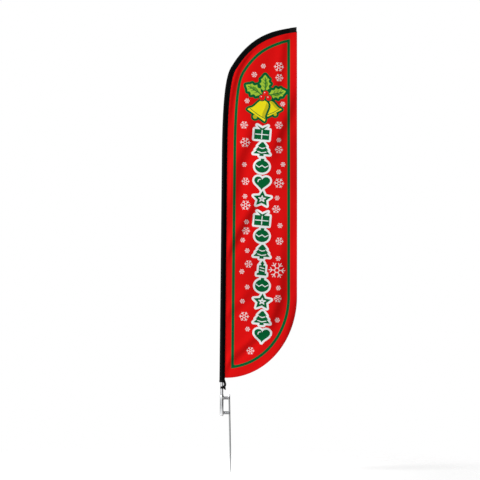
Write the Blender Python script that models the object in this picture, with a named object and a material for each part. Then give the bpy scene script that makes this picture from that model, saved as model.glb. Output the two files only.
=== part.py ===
"""Feather flag on a four-piece pole, standing in a steel ground stake.

Metres. +Z runs up the pole's axis, the flag flies towards +X and its printed face looks
towards -Y. The origin is the middle of the closed foot of the stake's socket, at ground level.
"""

import math

import bmesh
import bpy
from mathutils import Vector
from mathutils.geometry import interpolate_bezier

# Clearance between pieces that touch
GAP = 0.0003

# Pole: aluminium tubes, each slipped into the one below and a clearance smaller
POLE_DIAMETER = 0.028
POLE_WALL = 0.0012
SECTION_COUNT = 3
SECTION_LENGTH = 1.02
SLIP_LENGTH = 0.10
COLLAR_WALL = 0.002
COLLAR_HEIGHT = 0.015
PLUG_FLANGE = 0.003
PLUG_SPIGOT = 0.016
POLE_RADII = [POLE_DIAMETER / 2.0 - i * (POLE_WALL + GAP) for i in range(SECTION_COUNT)]

# Liner that the pole turns in
LINER_WALL = 0.0012
LINER_FLOOR = 0.002
LINER_FLANGE = 0.0025

# Ground stake: a socket tube beside a spike, held apart by two ribbed bridge bars
SOCKET_WALL = 0.0017
SOCKET_HEIGHT = 0.210
SOCKET_RADIUS = POLE_DIAMETER / 2.0 + GAP + LINER_WALL + GAP + SOCKET_WALL
FOOT_THICKNESS = 0.008
FOOT_ROUNDING = 0.006
SPIKE_DIAMETER = 0.016
SPIKE_OFFSET = 0.080
SPIKE_LEAN = math.radians(1.5)
SPIKE_TOP = SOCKET_HEIGHT + 0.005
SPIKE_DEPTH = 0.577
SPIKE_POINT = 0.055
SPIKE_CHAMFER = 0.001
BRIDGE_DIAMETER = 0.030
BRIDGE_HEIGHTS = {"lower_bridge": 0.032, "upper_bridge": SOCKET_HEIGHT - 0.030}
BRIDGE_RIBS = 8
BRIDGE_RIB_DEPTH = 0.0012
BRIDGE_BITE = 0.006

# Flexible tip and its fittings
ROD_DIAMETER = 0.0127
ROD_END_DIAMETER = 0.0075
SHOULDER_HEIGHT = 0.012
CAP_WALL = 0.0015
CAP_LENGTH = 0.022
CAP_END = 0.003

# Lower end of each aluminium tube, and the rim of the uppermost one
POLE_FOOT = FOOT_THICKNESS + LINER_FLOOR + PLUG_FLANGE + 3.0 * GAP
POLE_FEET = [POLE_FOOT + i * (SECTION_LENGTH - SLIP_LENGTH) for i in range(SECTION_COUNT)]
POLE_RIM = POLE_FEET[-1] + SECTION_LENGTH

# Sleeve's outer edge: a straight run, then two bends that meet at the shoulder.
# Each knot is its place (x, z), its heading from the horizontal, and its handles before and after
MOUTH_X = -POLE_DIAMETER / 2.0 - 0.011
MOUTH_Z = 0.338
FLAG_REACH = 0.7234
ARCH_KNOTS = (
    ((-POLE_DIAMETER / 2.0 - 0.005, POLE_RIM - 0.354), math.radians(90.0), 0.0, 0.50),
    ((0.064, POLE_RIM + 0.611), math.radians(59.7), 0.134, 0.394),
    ((FLAG_REACH, POLE_RIM + 1.021), math.radians(7.8), 0.225, 0.0),
)

# Sleeve: a drop-shaped tube of cloth, roomy round the tubes and slim round the rod
SLEEVE_WIDTH = POLE_DIAMETER + 0.027
SLEEVE_TIP_WIDTH = SLEEVE_WIDTH - 0.007
TIP_TAPER_LENGTH = 0.30
SLEEVE_HALF_DEPTH = POLE_DIAMETER / 2.0 + 0.004
ARCH_HALF_DEPTH = ROD_DIAMETER / 2.0 + 0.0032
ROD_INSET = ROD_DIAMETER / 2.0 + 0.0042
NARROWING = (POLE_RIM + 0.046, POLE_RIM + 0.326)
CLOTH_WALL = 0.0012
SEAM_HALF_DEPTH = 0.0015
SLEEVE_END_WALL = 0.004
PATCH_LENGTH = 0.07
BINDING_HEIGHT = 0.022

# Flag cloth below the arch: its lower free corner is a quarter of an ellipse
PANEL_THICKNESS = 0.0012
FLY_LEAN = math.radians(0.45)
CORNER_HEIGHT = 0.811
PANEL_BOTTOM = MOUTH_Z + 0.044
PANEL_BOTTOM_X = MOUTH_X + SLEEVE_WIDTH + 0.007
FLY_BOTTOM_Z = PANEL_BOTTOM + CORNER_HEIGHT
FLY_BOTTOM_X = FLAG_REACH + (ARCH_KNOTS[-1][0][1] - FLY_BOTTOM_Z) * math.tan(FLY_LEAN)
BILLOW = 0.022
BILLOW_LENGTH = 1.7
BILLOW_SHIFT = 0.55

# Tie strap: down from the sleeve's corner and round the pole to a knot
STRAP_WIDTH = 0.023
STRAP_THICKNESS = 0.002
STRAP_PITCH = 0.010
STRAP_TURNS = 0.8
STRAP_TOP_X = MOUTH_X + SLEEVE_WIDTH - 0.0035
WRAP_TOP = MOUTH_Z - 0.0515
WRAP_START = math.radians(-75.0)
WRAP_RADIUS = POLE_DIAMETER / 2.0 + 2.0 * GAP + STRAP_THICKNESS / 2.0
KNOT_RADIUS = 0.0105
KNOT_TAIL = 0.008

# Facets
ROUND = 32
SMALL_ROUND = 16
ROD_SIDES = 10
ARCH_STATIONS = 26
CORNER_STATIONS = 15
STRAIGHT_STATIONS = 13
PANEL_COLUMNS = 8
WRAP_STATIONS = 26
DROP_STATIONS = 13


def smoothstep(low, high, value):
    """0 below low, 1 above high, and an eased rise between them."""
    t = min(max((value - low) / (high - low), 0.0), 1.0)
    return t * t * (3.0 - 2.0 * t)


def material(name, colour, roughness, metallic=0.0):
    """One Principled material for a sub-part."""
    made = bpy.data.materials.new(name)
    made.use_nodes = True
    shader = made.node_tree.nodes["Principled BSDF"]
    shader.inputs["Base Color"].default_value = (*colour, 1.0)
    shader.inputs["Roughness"].default_value = roughness
    shader.inputs["Metallic"].default_value = metallic
    return made


def add_object(name, mesh, finish):
    """Link an object for a mesh, shaded smooth with its sharp edges kept."""
    mesh.shade_smooth()
    mesh.set_sharp_from_angle(angle=math.radians(35.0))
    mesh.materials.append(finish)
    made = bpy.data.objects.new(name, mesh)
    bpy.context.collection.objects.link(made)
    return made


def finish_mesh(name, bm):
    """Turn the faces out and store the bmesh."""
    bmesh.ops.recalc_face_normals(bm, faces=bm.faces)
    mesh = bpy.data.meshes.new(name)
    bm.to_mesh(mesh)
    bm.free()
    return mesh


def add_ring(bm, points):
    """Vertices of one closed ring."""
    return [bm.verts.new(point) for point in points]


def join_rings(bm, first, second, closed=True):
    """Quads between two rings of the same count."""
    count = len(first)
    for i in range(count if closed else count - 1):
        j = (i + 1) % count
        bm.faces.new((first[i], first[j], second[j], second[i]))


def lofted_mesh(name, rings):
    """Solid through a row of rings, with a face at each end."""
    bm = bmesh.new()
    loops = [add_ring(bm, ring) for ring in rings]
    for first, second in zip(loops, loops[1:]):
        join_rings(bm, first, second)
    bm.faces.new(loops[0])
    bm.faces.new(loops[-1])
    return finish_mesh(name, bm)


def pocket_mesh(name, outer, inner):
    """Hollow cup: open where the rings start, closed where they end."""
    bm = bmesh.new()
    outer_loops = [add_ring(bm, ring) for ring in outer]
    inner_loops = [add_ring(bm, ring) for ring in inner]
    for loops in (outer_loops, inner_loops):
        for first, second in zip(loops, loops[1:]):
            join_rings(bm, first, second)
        bm.faces.new(loops[-1])
    join_rings(bm, outer_loops[0], inner_loops[0])
    return finish_mesh(name, bm)


def hoop_mesh(name, outer, inner):
    """Band open at both ends, with its rims closed."""
    bm = bmesh.new()
    outer_loops = [add_ring(bm, ring) for ring in outer]
    inner_loops = [add_ring(bm, ring) for ring in inner]
    for loops in (outer_loops, inner_loops):
        for first, second in zip(loops, loops[1:]):
            join_rings(bm, first, second)
    join_rings(bm, outer_loops[0], inner_loops[0])
    join_rings(bm, outer_loops[-1], inner_loops[-1])
    return finish_mesh(name, bm)


def turned_mesh(name, profile, segments=ROUND, closed=False):
    """Body turned round Z from (radius, height) points; a closed profile makes a tube."""
    bm = bmesh.new()
    rings = []
    for radius, height in profile:
        if radius == 0.0:
            rings.append([bm.verts.new((0.0, 0.0, height))])
            continue
        angles = [2.0 * math.pi * i / segments for i in range(segments)]
        rings.append(add_ring(bm, [(radius * math.cos(a), radius * math.sin(a), height) for a in angles]))
    pairs = list(zip(rings, rings[1:]))
    if closed:
        pairs.append((rings[-1], rings[0]))
    for first, second in pairs:
        if len(first) == len(second):
            join_rings(bm, first, second)
            continue
        ring, apex = (first, second[0]) if len(second) == 1 else (second, first[0])
        for i in range(segments):
            bm.faces.new((ring[i], ring[(i + 1) % segments], apex))
    return finish_mesh(name, bm)


def tube_profile(inner, outer, bottom, top):
    """Closed profile of a plain tube."""
    return [(inner, bottom), (outer, bottom), (outer, top), (inner, top)]


# Ground stake ---------------------------------------------------------------------------------


def build_stake(steel, dark_steel):
    """Socket tube with its closed foot, the spike, and the two bars between them."""
    radius = SOCKET_RADIUS
    corner = [math.pi / 2.0 * i / 4 for i in range(5)]
    foot = [(0.0, 0.0)]
    foot += [
        (radius - FOOT_ROUNDING * (1.0 - math.sin(a)), FOOT_ROUNDING * (1.0 - math.cos(a))) for a in corner
    ]
    foot += [(radius, FOOT_THICKNESS), (0.0, FOOT_THICKNESS)]
    add_object("socket_foot", turned_mesh("socket_foot", foot), steel)
    wall = tube_profile(radius - SOCKET_WALL, radius, FOOT_THICKNESS + GAP, SOCKET_HEIGHT)
    add_object("socket_tube", turned_mesh("socket_tube", wall, closed=True), steel)

    spike = turned_mesh("spike_rod", spike_profile(0.0), SMALL_ROUND)
    place_spike(add_object("spike_rod", spike, steel))

    cutters = (
        cutter("socket_cutter", tube_cutter_mesh("socket_cutter", radius + GAP, 0.0, SOCKET_HEIGHT)),
        place_spike(cutter("spike_cutter", turned_mesh("spike_cutter", spike_profile(GAP), SMALL_ROUND))),
    )
    for name, height in BRIDGE_HEIGHTS.items():
        bar = add_object(name, bridge_mesh(name), dark_steel)
        bar.location = (0.0, 0.0, height)
        bar.rotation_euler = (0.0, math.pi / 2.0, 0.0)
        for tool in cutters:
            cope = bar.modifiers.new("cope_" + tool.name, "BOOLEAN")
            cope.operation = "DIFFERENCE"
            cope.object = tool


def spike_profile(grow):
    """Spike's outline in its own frame, grown all round when it serves as a cutter."""
    radius = SPIKE_DIAMETER / 2.0
    return [
        (0.0, SPIKE_TOP + grow),
        (radius - SPIKE_CHAMFER + grow, SPIKE_TOP + grow),
        (radius + grow, SPIKE_TOP - SPIKE_CHAMFER + grow),
        (radius + grow, SPIKE_POINT - SPIKE_DEPTH),
        (0.0, -SPIKE_DEPTH),
    ]


def place_spike(made):
    """Stand a piece on the spike's leaning axis."""
    made.location = (SPIKE_OFFSET, 0.0, 0.0)
    made.rotation_euler = (0.0, -SPIKE_LEAN, 0.0)
    return made


def tube_cutter_mesh(name, radius, bottom, top):
    """Plain round bar, used to cope a bridge bar to the tube."""
    return turned_mesh(name, [(0.0, bottom), (radius, bottom), (radius, top), (0.0, top)])


def cutter(name, mesh):
    """Guide body for a cut, left out of the model."""
    made = bpy.data.objects.new(name, mesh)
    bpy.context.collection.objects.link(made)
    made.hide_render = True
    made.display_type = "WIRE"
    return made


def bridge_mesh(name):
    """Ribbed round bar along its own Z, long enough to be coped at both ends."""
    radius = BRIDGE_DIAMETER / 2.0
    start = math.sqrt(SOCKET_RADIUS**2 - radius**2) - 0.001
    end = SPIKE_OFFSET - BRIDGE_BITE
    pitch = (end - start) / BRIDGE_RIBS
    profile = [(0.0, start)]
    for rib in range(BRIDGE_RIBS):
        foot = start + rib * pitch
        profile += [
            (radius - BRIDGE_RIB_DEPTH, foot + (pitch * 0.05 if rib else 0.0)),
            (radius, foot + pitch * 0.3),
            (radius, foot + pitch * 0.7),
        ]
    profile += [(radius - BRIDGE_RIB_DEPTH, end), (0.0, end)]
    return turned_mesh(name, profile, SMALL_ROUND)


# Pole -----------------------------------------------------------------------------------------


def build_liner(nylon):
    """Flanged cup between the socket and the pole."""
    inner = POLE_DIAMETER / 2.0 + GAP
    outer = inner + LINER_WALL
    base = FOOT_THICKNESS + GAP
    rim = SOCKET_HEIGHT + GAP
    profile = [
        (0.0, base),
        (outer, base),
        (outer, rim),
        (SOCKET_RADIUS + GAP, rim),
        (SOCKET_RADIUS + GAP, rim + LINER_FLANGE),
        (inner, rim + LINER_FLANGE),
        (inner, base + LINER_FLOOR),
        (0.0, base + LINER_FLOOR),
    ]
    add_object("socket_liner", turned_mesh("socket_liner", profile), nylon)


def build_pole(aluminium, black_plastic):
    """Foot plug, three slip-fit tubes, and the stop collars that seat on the rims."""
    radius = POLE_RADII[0]
    spigot = radius - POLE_WALL - GAP
    seat = POLE_FOOT - GAP
    plug = [
        (0.0, seat - PLUG_FLANGE),
        (radius, seat - PLUG_FLANGE),
        (radius, seat),
        (spigot, seat),
        (spigot, seat + PLUG_SPIGOT),
        (0.0, seat + PLUG_SPIGOT),
    ]
    add_object("foot_plug", turned_mesh("foot_plug", plug), black_plastic)
    for number, (outer, foot) in enumerate(zip(POLE_RADII, POLE_FEET), start=1):
        name = f"pole_section_{number}"
        profile = tube_profile(outer - POLE_WALL, outer, foot, foot + SECTION_LENGTH)
        add_object(name, turned_mesh(name, profile, closed=True), aluminium)
        if number == 1:
            continue
        seat = foot + SLIP_LENGTH + GAP
        name = f"stop_collar_{number}"
        profile = tube_profile(outer + GAP, outer + GAP + COLLAR_WALL, seat, seat + COLLAR_HEIGHT)
        add_object(name, turned_mesh(name, profile, closed=True), black_plastic)


# Sleeve's outer edge --------------------------------------------------------------------------


def bend_points(knots, steps):
    """Points along the bends, from the first knot to the last."""
    points = []
    for (start, heading0, _, reach0), (end, heading1, reach1, _) in zip(knots, knots[1:]):
        p0 = Vector((start[0], 0.0, start[1]))
        p1 = Vector((end[0], 0.0, end[1]))
        h0 = p0 + reach0 * Vector((math.cos(heading0), 0.0, math.sin(heading0)))
        h1 = p1 - reach1 * Vector((math.cos(heading1), 0.0, math.sin(heading1)))
        run = interpolate_bezier(p0, h0, h1, p1, steps)
        points += run if not points else run[1:]
    return points


class SleeveEdge:
    """Sleeve's outer edge as a path, measured from the mouth."""

    def __init__(self):
        self.points = [Vector((MOUTH_X, 0.0, MOUTH_Z))] + bend_points(ARCH_KNOTS, 60)
        self.lengths = [0.0]
        for a, b in zip(self.points, self.points[1:]):
            self.lengths.append(self.lengths[-1] + (b - a).length)
        self.length = self.lengths[-1]
        self.straight = self.lengths[1]
        fly = Vector((FLY_BOTTOM_X, 0.0, FLY_BOTTOM_Z)) - self.points[-1]
        self.fly = fly.normalized()

    def at(self, distance):
        """Point on the edge and the unit vector across the sleeve towards the cloth."""
        distance = min(max(distance, 0.0), self.length)
        i = 0
        while self.lengths[i + 1] < distance and i < len(self.points) - 2:
            i += 1
        share = (distance - self.lengths[i]) / (self.lengths[i + 1] - self.lengths[i])
        point = self.points[i].lerp(self.points[i + 1], share)
        before = self.heading(i)
        after = self.heading(i + 1)
        along = before.lerp(after, share).normalized()
        across = Vector((along.z, 0.0, -along.x))
        turn = smoothstep(self.length - TIP_TAPER_LENGTH, self.length, distance)
        return point, across.lerp(self.fly, turn).normalized()

    def heading(self, i):
        """Direction of the edge at one of its points."""
        before = self.points[max(i - 1, 0)]
        after = self.points[min(i + 1, len(self.points) - 1)]
        return (after - before).normalized()

    def width(self, distance):
        """Sleeve's width across, from its outer edge to the seam."""
        turn = smoothstep(self.length - TIP_TAPER_LENGTH, self.length, distance)
        return SLEEVE_WIDTH + (SLEEVE_TIP_WIDTH - SLEEVE_WIDTH) * turn

    def pole_inset(self, distance):
        """Distance across from the outer edge to the pole's middle."""
        point, across = self.at(distance)
        slim = smoothstep(*NARROWING, point.z)
        return -point.x / max(across.x, 0.2) * (1.0 - slim) + ROD_INSET * slim

    def half_depth(self, distance):
        """Half of the sleeve's thickness at the pole."""
        slim = smoothstep(*NARROWING, self.at(distance)[0].z)
        return SLEEVE_HALF_DEPTH + (ARCH_HALF_DEPTH - SLEEVE_HALF_DEPTH) * slim

    def pole_middle(self, distance):
        """Point on the pole's centre line."""
        point, across = self.at(distance)
        return point + across * self.pole_inset(distance)

    def seam(self, distance, beyond=0.0):
        """Point on the seam with the flag cloth, or a little beyond it."""
        point, across = self.at(distance)
        return point + across * (self.width(distance) + beyond)


def drop_section(edge, distance, grow, closed=True):
    """Drop-shaped section of the sleeve, grown or shrunk all round by the same amount."""
    point, across = edge.at(distance)
    middle = edge.pole_inset(distance)
    depth = edge.half_depth(distance)
    width = edge.width(distance)
    side = []
    for i in range(1, 5):
        turn = math.pi / 2.0 * i / 4
        side.append((middle - (middle + grow) * math.cos(turn), (depth + grow) * math.sin(turn)))
    for i in range(1, 6):
        share = i / 5.0
        ease = (1.0 + math.cos(math.pi * share)) / 2.0
        half = SEAM_HALF_DEPTH + grow + (depth - SEAM_HALF_DEPTH) * ease
        side.append((middle + (width + (grow if closed else 0.0) - middle) * share, half))
    front = [(across_by, -y) for across_by, y in reversed(side)]
    outline = front + [(-grow, 0.0)] + side
    return [point + across * n + Vector((0.0, y, 0.0)) for n, y in outline]


def round_section(edge, distance, radius, sides=ROD_SIDES):
    """Round section about the pole's centre line."""
    across = edge.at(distance)[1]
    middle = edge.pole_middle(distance)
    turns = [2.0 * math.pi * i / sides for i in range(sides)]
    return [middle + radius * (across * math.cos(a) + Vector((0.0, math.sin(a), 0.0))) for a in turns]


def spread(start, end, count):
    """Evenly spaced distances, both ends included."""
    return [start + (end - start) * i / (count - 1) for i in range(count)]


def arch_distances(edge):
    """Stations along the arch, from the end of the straight run to the tip."""
    return spread(edge.straight, edge.length, ARCH_STATIONS)


# Flexible tip ---------------------------------------------------------------------------------


def build_tip(edge, aluminium, fibreglass, rubber):
    """Ferrule that plugs into the top tube, the bending rod, and the cap on its end."""
    rim = POLE_RIM
    butt = rim - SLIP_LENGTH
    rod = ROD_DIAMETER / 2.0
    bore = rod + GAP
    plug = POLE_RADII[-1] - POLE_WALL - GAP
    shoulder = POLE_RADII[-1]
    ferrule = [
        (bore, butt),
        (plug, butt),
        (plug, rim + GAP),
        (shoulder, rim + GAP),
        (shoulder, rim + SHOULDER_HEIGHT * 0.7),
        (bore + 0.001, rim + SHOULDER_HEIGHT),
        (bore, rim + SHOULDER_HEIGHT),
    ]
    add_object("tip_ferrule", turned_mesh("tip_ferrule", ferrule, closed=True), aluminium)

    start = rim + SHOULDER_HEIGHT - MOUTH_Z
    end = edge.length - SLEEVE_END_WALL - CAP_END - 2.0 * GAP
    rings = [[Vector((v.x, v.y, butt)) for v in round_section(edge, start, rod)]]
    for distance in spread(start, end, ARCH_STATIONS):
        taper = (distance - start) / (end - start)
        rings.append(round_section(edge, distance, rod + (ROD_END_DIAMETER / 2.0 - rod) * taper))
    add_object("fibreglass_tip", lofted_mesh("fibreglass_tip", rings), fibreglass)

    bore = ROD_END_DIAMETER / 2.0 + 2.0 * GAP
    cap = end - CAP_LENGTH
    outer = [round_section(edge, d, bore + CAP_WALL) for d in (cap, (cap + end) / 2.0, end + CAP_END + GAP)]
    inner = [round_section(edge, d, bore) for d in (cap, (cap + end) / 2.0, end + GAP)]
    add_object("tip_cap", pocket_mesh("tip_cap", outer, inner), rubber)


# Cloth ----------------------------------------------------------------------------------------


def build_sleeve(edge, black_cloth, webbing):
    """Sleeve sewn shut at the tip, the patch folded over its end, and the bound mouth."""
    stations = [0.0] + arch_distances(edge)
    outer = [drop_section(edge, d, 0.0) for d in stations]
    inner_end = edge.length - SLEEVE_END_WALL
    inner = [drop_section(edge, min(d, inner_end), -CLOTH_WALL) for d in stations]
    add_object("pole_sleeve", pocket_mesh("pole_sleeve", outer, inner), black_cloth)

    bm = bmesh.new()
    loops = []
    for distance in spread(edge.length - PATCH_LENGTH, edge.length, 4):
        inside = drop_section(edge, distance, GAP, closed=False)
        outside = drop_section(edge, distance, GAP + CLOTH_WALL, closed=False)
        loops.append((add_ring(bm, outside), add_ring(bm, inside)))
    for (outside0, inside0), (outside1, inside1) in zip(loops, loops[1:]):
        join_rings(bm, outside0, outside1, closed=False)
        join_rings(bm, inside0, inside1, closed=False)
        bm.faces.new((outside0[0], inside0[0], inside1[0], outside1[0]))
        bm.faces.new((outside0[-1], inside0[-1], inside1[-1], outside1[-1]))
    for outside, inside in (loops[0], loops[-1]):
        join_rings(bm, outside, inside, closed=False)
    add_object("tip_patch", finish_mesh("tip_patch", bm), webbing)

    band = (0.0, BINDING_HEIGHT)
    outside = [drop_section(edge, d, GAP + CLOTH_WALL) for d in band]
    inside = [drop_section(edge, d, GAP) for d in band]
    add_object("mouth_binding", hoop_mesh("mouth_binding", outside, inside), webbing)


def hem_x(height):
    """Flag's free edge at a height: the fly edge, or the rounded corner below it."""
    if height < FLY_BOTTOM_Z:
        drop = min((FLY_BOTTOM_Z - height) / CORNER_HEIGHT, 1.0)
        return PANEL_BOTTOM_X + (FLY_BOTTOM_X - PANEL_BOTTOM_X) * math.sqrt(1.0 - drop * drop)
    return FLY_BOTTOM_X - (height - FLY_BOTTOM_Z) * math.tan(FLY_LEAN)


def build_panel(edge, red_cloth):
    """Thin sheet between the seam, the fly edge and the rounded corner, softly billowed."""
    hoist = [edge.seam(d, GAP) for d in (0.0, edge.straight)]
    turns = spread(0.0, math.pi / 2.0, CORNER_STATIONS)
    heights = [PANEL_BOTTOM + CORNER_HEIGHT * (1.0 - math.cos(turn)) for turn in turns]
    heights += spread(FLY_BOTTOM_Z, hoist[1].z, STRAIGHT_STATIONS)[1:-1]
    rows = []
    for height in heights:
        share = (height - hoist[0].z) / (hoist[1].z - hoist[0].z)
        rows.append(hoist[0].lerp(hoist[1], share))
    rows += [edge.seam(d, GAP) for d in arch_distances(edge)]

    bm = bmesh.new()
    sheets = []
    for side in (-0.5, 0.5):
        grid = []
        for start in rows:
            width = max(hem_x(start.z) - start.x, 0.0)
            line = []
            for column in range(PANEL_COLUMNS + 1):
                reach = width * column / PANEL_COLUMNS
                place = start + Vector((reach, side * PANEL_THICKNESS + billow(reach, start.z), 0.0))
                line.append(bm.verts.new(place))
            grid.append(line)
        for low, high in zip(grid, grid[1:]):
            join_rings(bm, low, high, closed=False)
        sheets.append(grid)
    near, far = sheets
    for border in (
        lambda grid: grid[0],
        lambda grid: grid[-1],
        lambda grid: [line[0] for line in grid],
        lambda grid: [line[-1] for line in grid],
    ):
        join_rings(bm, border(near), border(far), closed=False)
    bmesh.ops.remove_doubles(bm, verts=bm.verts, dist=0.00005)
    add_object("flag_panel", finish_mesh("flag_panel", bm), red_cloth)


def billow(reach, height):
    """Sideways swing of the cloth, which grows away from the seam."""
    share = reach / (FLY_BOTTOM_X - PANEL_BOTTOM_X)
    return BILLOW * share**1.3 * math.sin(2.0 * math.pi * (height / BILLOW_LENGTH + BILLOW_SHIFT * share))


# Tie ------------------------------------------------------------------------------------------


def strap_route():
    """Middle line of the strap, as (point, outward direction of its face)."""
    around = []
    for turn in spread(0.0, STRAP_TURNS, WRAP_STATIONS):
        angle = WRAP_START - 2.0 * math.pi * turn
        outward = Vector((math.cos(angle), math.sin(angle), 0.0))
        height = WRAP_TOP - STRAP_PITCH * turn
        around.append((outward * WRAP_RADIUS + Vector((0.0, 0.0, height)), outward))
    start = Vector((STRAP_TOP_X, 0.0, MOUTH_Z - GAP))
    end, facing = around[0]
    heading = Vector((facing.y, -facing.x, 0.0))
    leaving = start + Vector((0.010, -0.004, -0.022))
    arriving = end - heading * 0.036 + Vector((0.0, -0.004, 0.012))
    drop = interpolate_bezier(start, leaving, arriving, end, DROP_STATIONS)
    front = Vector((0.0, -1.0, 0.0))
    route = [(p, front.lerp(facing, i / DROP_STATIONS).normalized()) for i, p in enumerate(drop[:-1])]
    return route + around


def build_tie(webbing):
    """Strap from the sleeve's corner round the pole, and the knot that ends it."""
    route = strap_route()
    rings = []
    for i, (point, outward) in enumerate(route):
        before = route[max(i - 1, 0)][0]
        after = route[min(i + 1, len(route) - 1)][0]
        along = (after - before).normalized() if i else Vector((0.0, 0.0, -1.0))
        wide = outward.cross(along).normalized() * STRAP_WIDTH / 2.0
        thick = along.cross(wide).normalized() * STRAP_THICKNESS / 2.0
        rings.append([point + wide + thick, point - wide + thick, point - wide - thick, point + wide - thick])
    add_object("tie_strap", lofted_mesh("tie_strap", rings), webbing)

    bm = bmesh.new()
    bmesh.ops.create_icosphere(bm, subdivisions=2, radius=KNOT_RADIUS)
    tail = Vector((0.62, -0.2, -0.75)).normalized()
    for vert in bm.verts:
        pull = max(vert.co.normalized().dot(tail), 0.0) ** 4
        vert.co += tail * KNOT_TAIL * pull
    knot = add_object("tie_knot", finish_mesh("tie_knot", bm), webbing)
    beside = WRAP_RADIUS + STRAP_THICKNESS / 2.0 + GAP + KNOT_RADIUS
    knot.location = (beside, 0.0, WRAP_TOP - STRAP_PITCH * 0.7)


def build():
    """Clear the scene and model every piece."""
    for old in list(bpy.data.objects):
        bpy.data.objects.remove(old, do_unlink=True)
    steel = material("zinc_steel", (0.60, 0.61, 0.62), 0.35, 1.0)
    dark_steel = material("welded_bar", (0.33, 0.34, 0.35), 0.5, 1.0)
    aluminium = material("aluminium", (0.78, 0.79, 0.80), 0.28, 1.0)
    nylon = material("nylon", (0.55, 0.56, 0.57), 0.5)
    black_plastic = material("black_plastic", (0.02, 0.02, 0.02), 0.45)
    fibreglass = material("fibreglass", (0.75, 0.74, 0.68), 0.35)
    rubber = material("rubber", (0.02, 0.02, 0.02), 0.7)
    black_cloth = material("black_cloth", (0.006, 0.006, 0.006), 0.8)
    webbing = material("webbing", (0.01, 0.01, 0.01), 0.75)
    red_cloth = material("red_cloth", (0.66, 0.007, 0.007), 0.7)

    edge = SleeveEdge()
    build_stake(steel, dark_steel)
    build_liner(nylon)
    build_pole(aluminium, black_plastic)
    build_tip(edge, aluminium, fibreglass, rubber)
    build_sleeve(edge, black_cloth, webbing)
    build_panel(edge, red_cloth)
    build_tie(webbing)


build()
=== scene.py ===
"""Feather flag with its pole and ground stake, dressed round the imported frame.

Metres, +Z up along the pole, the flag flies towards +X and its printed face looks towards -Y.
"""

import math

import bmesh
import bpy
import numpy as np
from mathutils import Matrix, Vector, kdtree, noise
from mathutils.geometry import delaunay_2d_cdt, interpolate_bezier


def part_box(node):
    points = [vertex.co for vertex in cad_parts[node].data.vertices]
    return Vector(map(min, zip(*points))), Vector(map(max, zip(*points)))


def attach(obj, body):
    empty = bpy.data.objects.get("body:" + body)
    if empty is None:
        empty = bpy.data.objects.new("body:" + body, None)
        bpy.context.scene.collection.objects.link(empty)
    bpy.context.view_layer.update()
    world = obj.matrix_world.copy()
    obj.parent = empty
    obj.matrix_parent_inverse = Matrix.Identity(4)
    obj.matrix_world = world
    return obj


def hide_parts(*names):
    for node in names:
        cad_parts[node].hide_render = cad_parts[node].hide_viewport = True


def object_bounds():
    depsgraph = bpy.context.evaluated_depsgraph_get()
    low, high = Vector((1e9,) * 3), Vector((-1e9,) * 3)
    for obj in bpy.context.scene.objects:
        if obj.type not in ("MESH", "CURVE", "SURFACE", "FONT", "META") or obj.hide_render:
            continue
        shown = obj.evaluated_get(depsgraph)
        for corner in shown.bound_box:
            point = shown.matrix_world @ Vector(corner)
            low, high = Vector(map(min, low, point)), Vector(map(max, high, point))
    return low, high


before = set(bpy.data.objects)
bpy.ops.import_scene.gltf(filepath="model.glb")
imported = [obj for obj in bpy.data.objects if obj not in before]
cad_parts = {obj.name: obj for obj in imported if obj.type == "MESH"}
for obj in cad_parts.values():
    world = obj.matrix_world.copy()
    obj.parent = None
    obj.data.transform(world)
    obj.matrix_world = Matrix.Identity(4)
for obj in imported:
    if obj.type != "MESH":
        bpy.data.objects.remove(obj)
cad_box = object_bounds()

# Studio ---------------------------------------------------------------------------------------
# A pale floor that fades out round the object, a white sky, one large soft light raking across each
# face of the cloth from the upper left, and a long lens square to the flag.

LEAN = math.radians(0.45)
VIEW_HEIGHT = 4.8
LENS = 200.0
FLOOR_RADIUS = 4.0
SKY_FILL = 0.20


class Value:
    """One output of a material's nodes; arithmetic on it adds Math nodes."""

    def __init__(self, finish, socket):
        self.finish = finish
        self.socket = socket

    def maths(self, operation, other=None, swap=False):
        pair = [value for value in ((other, self) if swap else (self, other)) if value is not None]
        return self.finish.node("ShaderNodeMath", {"operation": operation}, dict(enumerate(pair)))

    def __add__(self, other):
        return self.maths("ADD", other)

    def __sub__(self, other):
        return self.maths("SUBTRACT", other)

    def __rsub__(self, other):
        return self.maths("SUBTRACT", other, swap=True)

    def __mul__(self, other):
        return self.maths("MULTIPLY", other)

    def __truediv__(self, other):
        return self.maths("DIVIDE", other)

    def __pow__(self, other):
        return self.maths("POWER", other)

    __radd__ = __add__
    __rmul__ = __mul__


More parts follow.
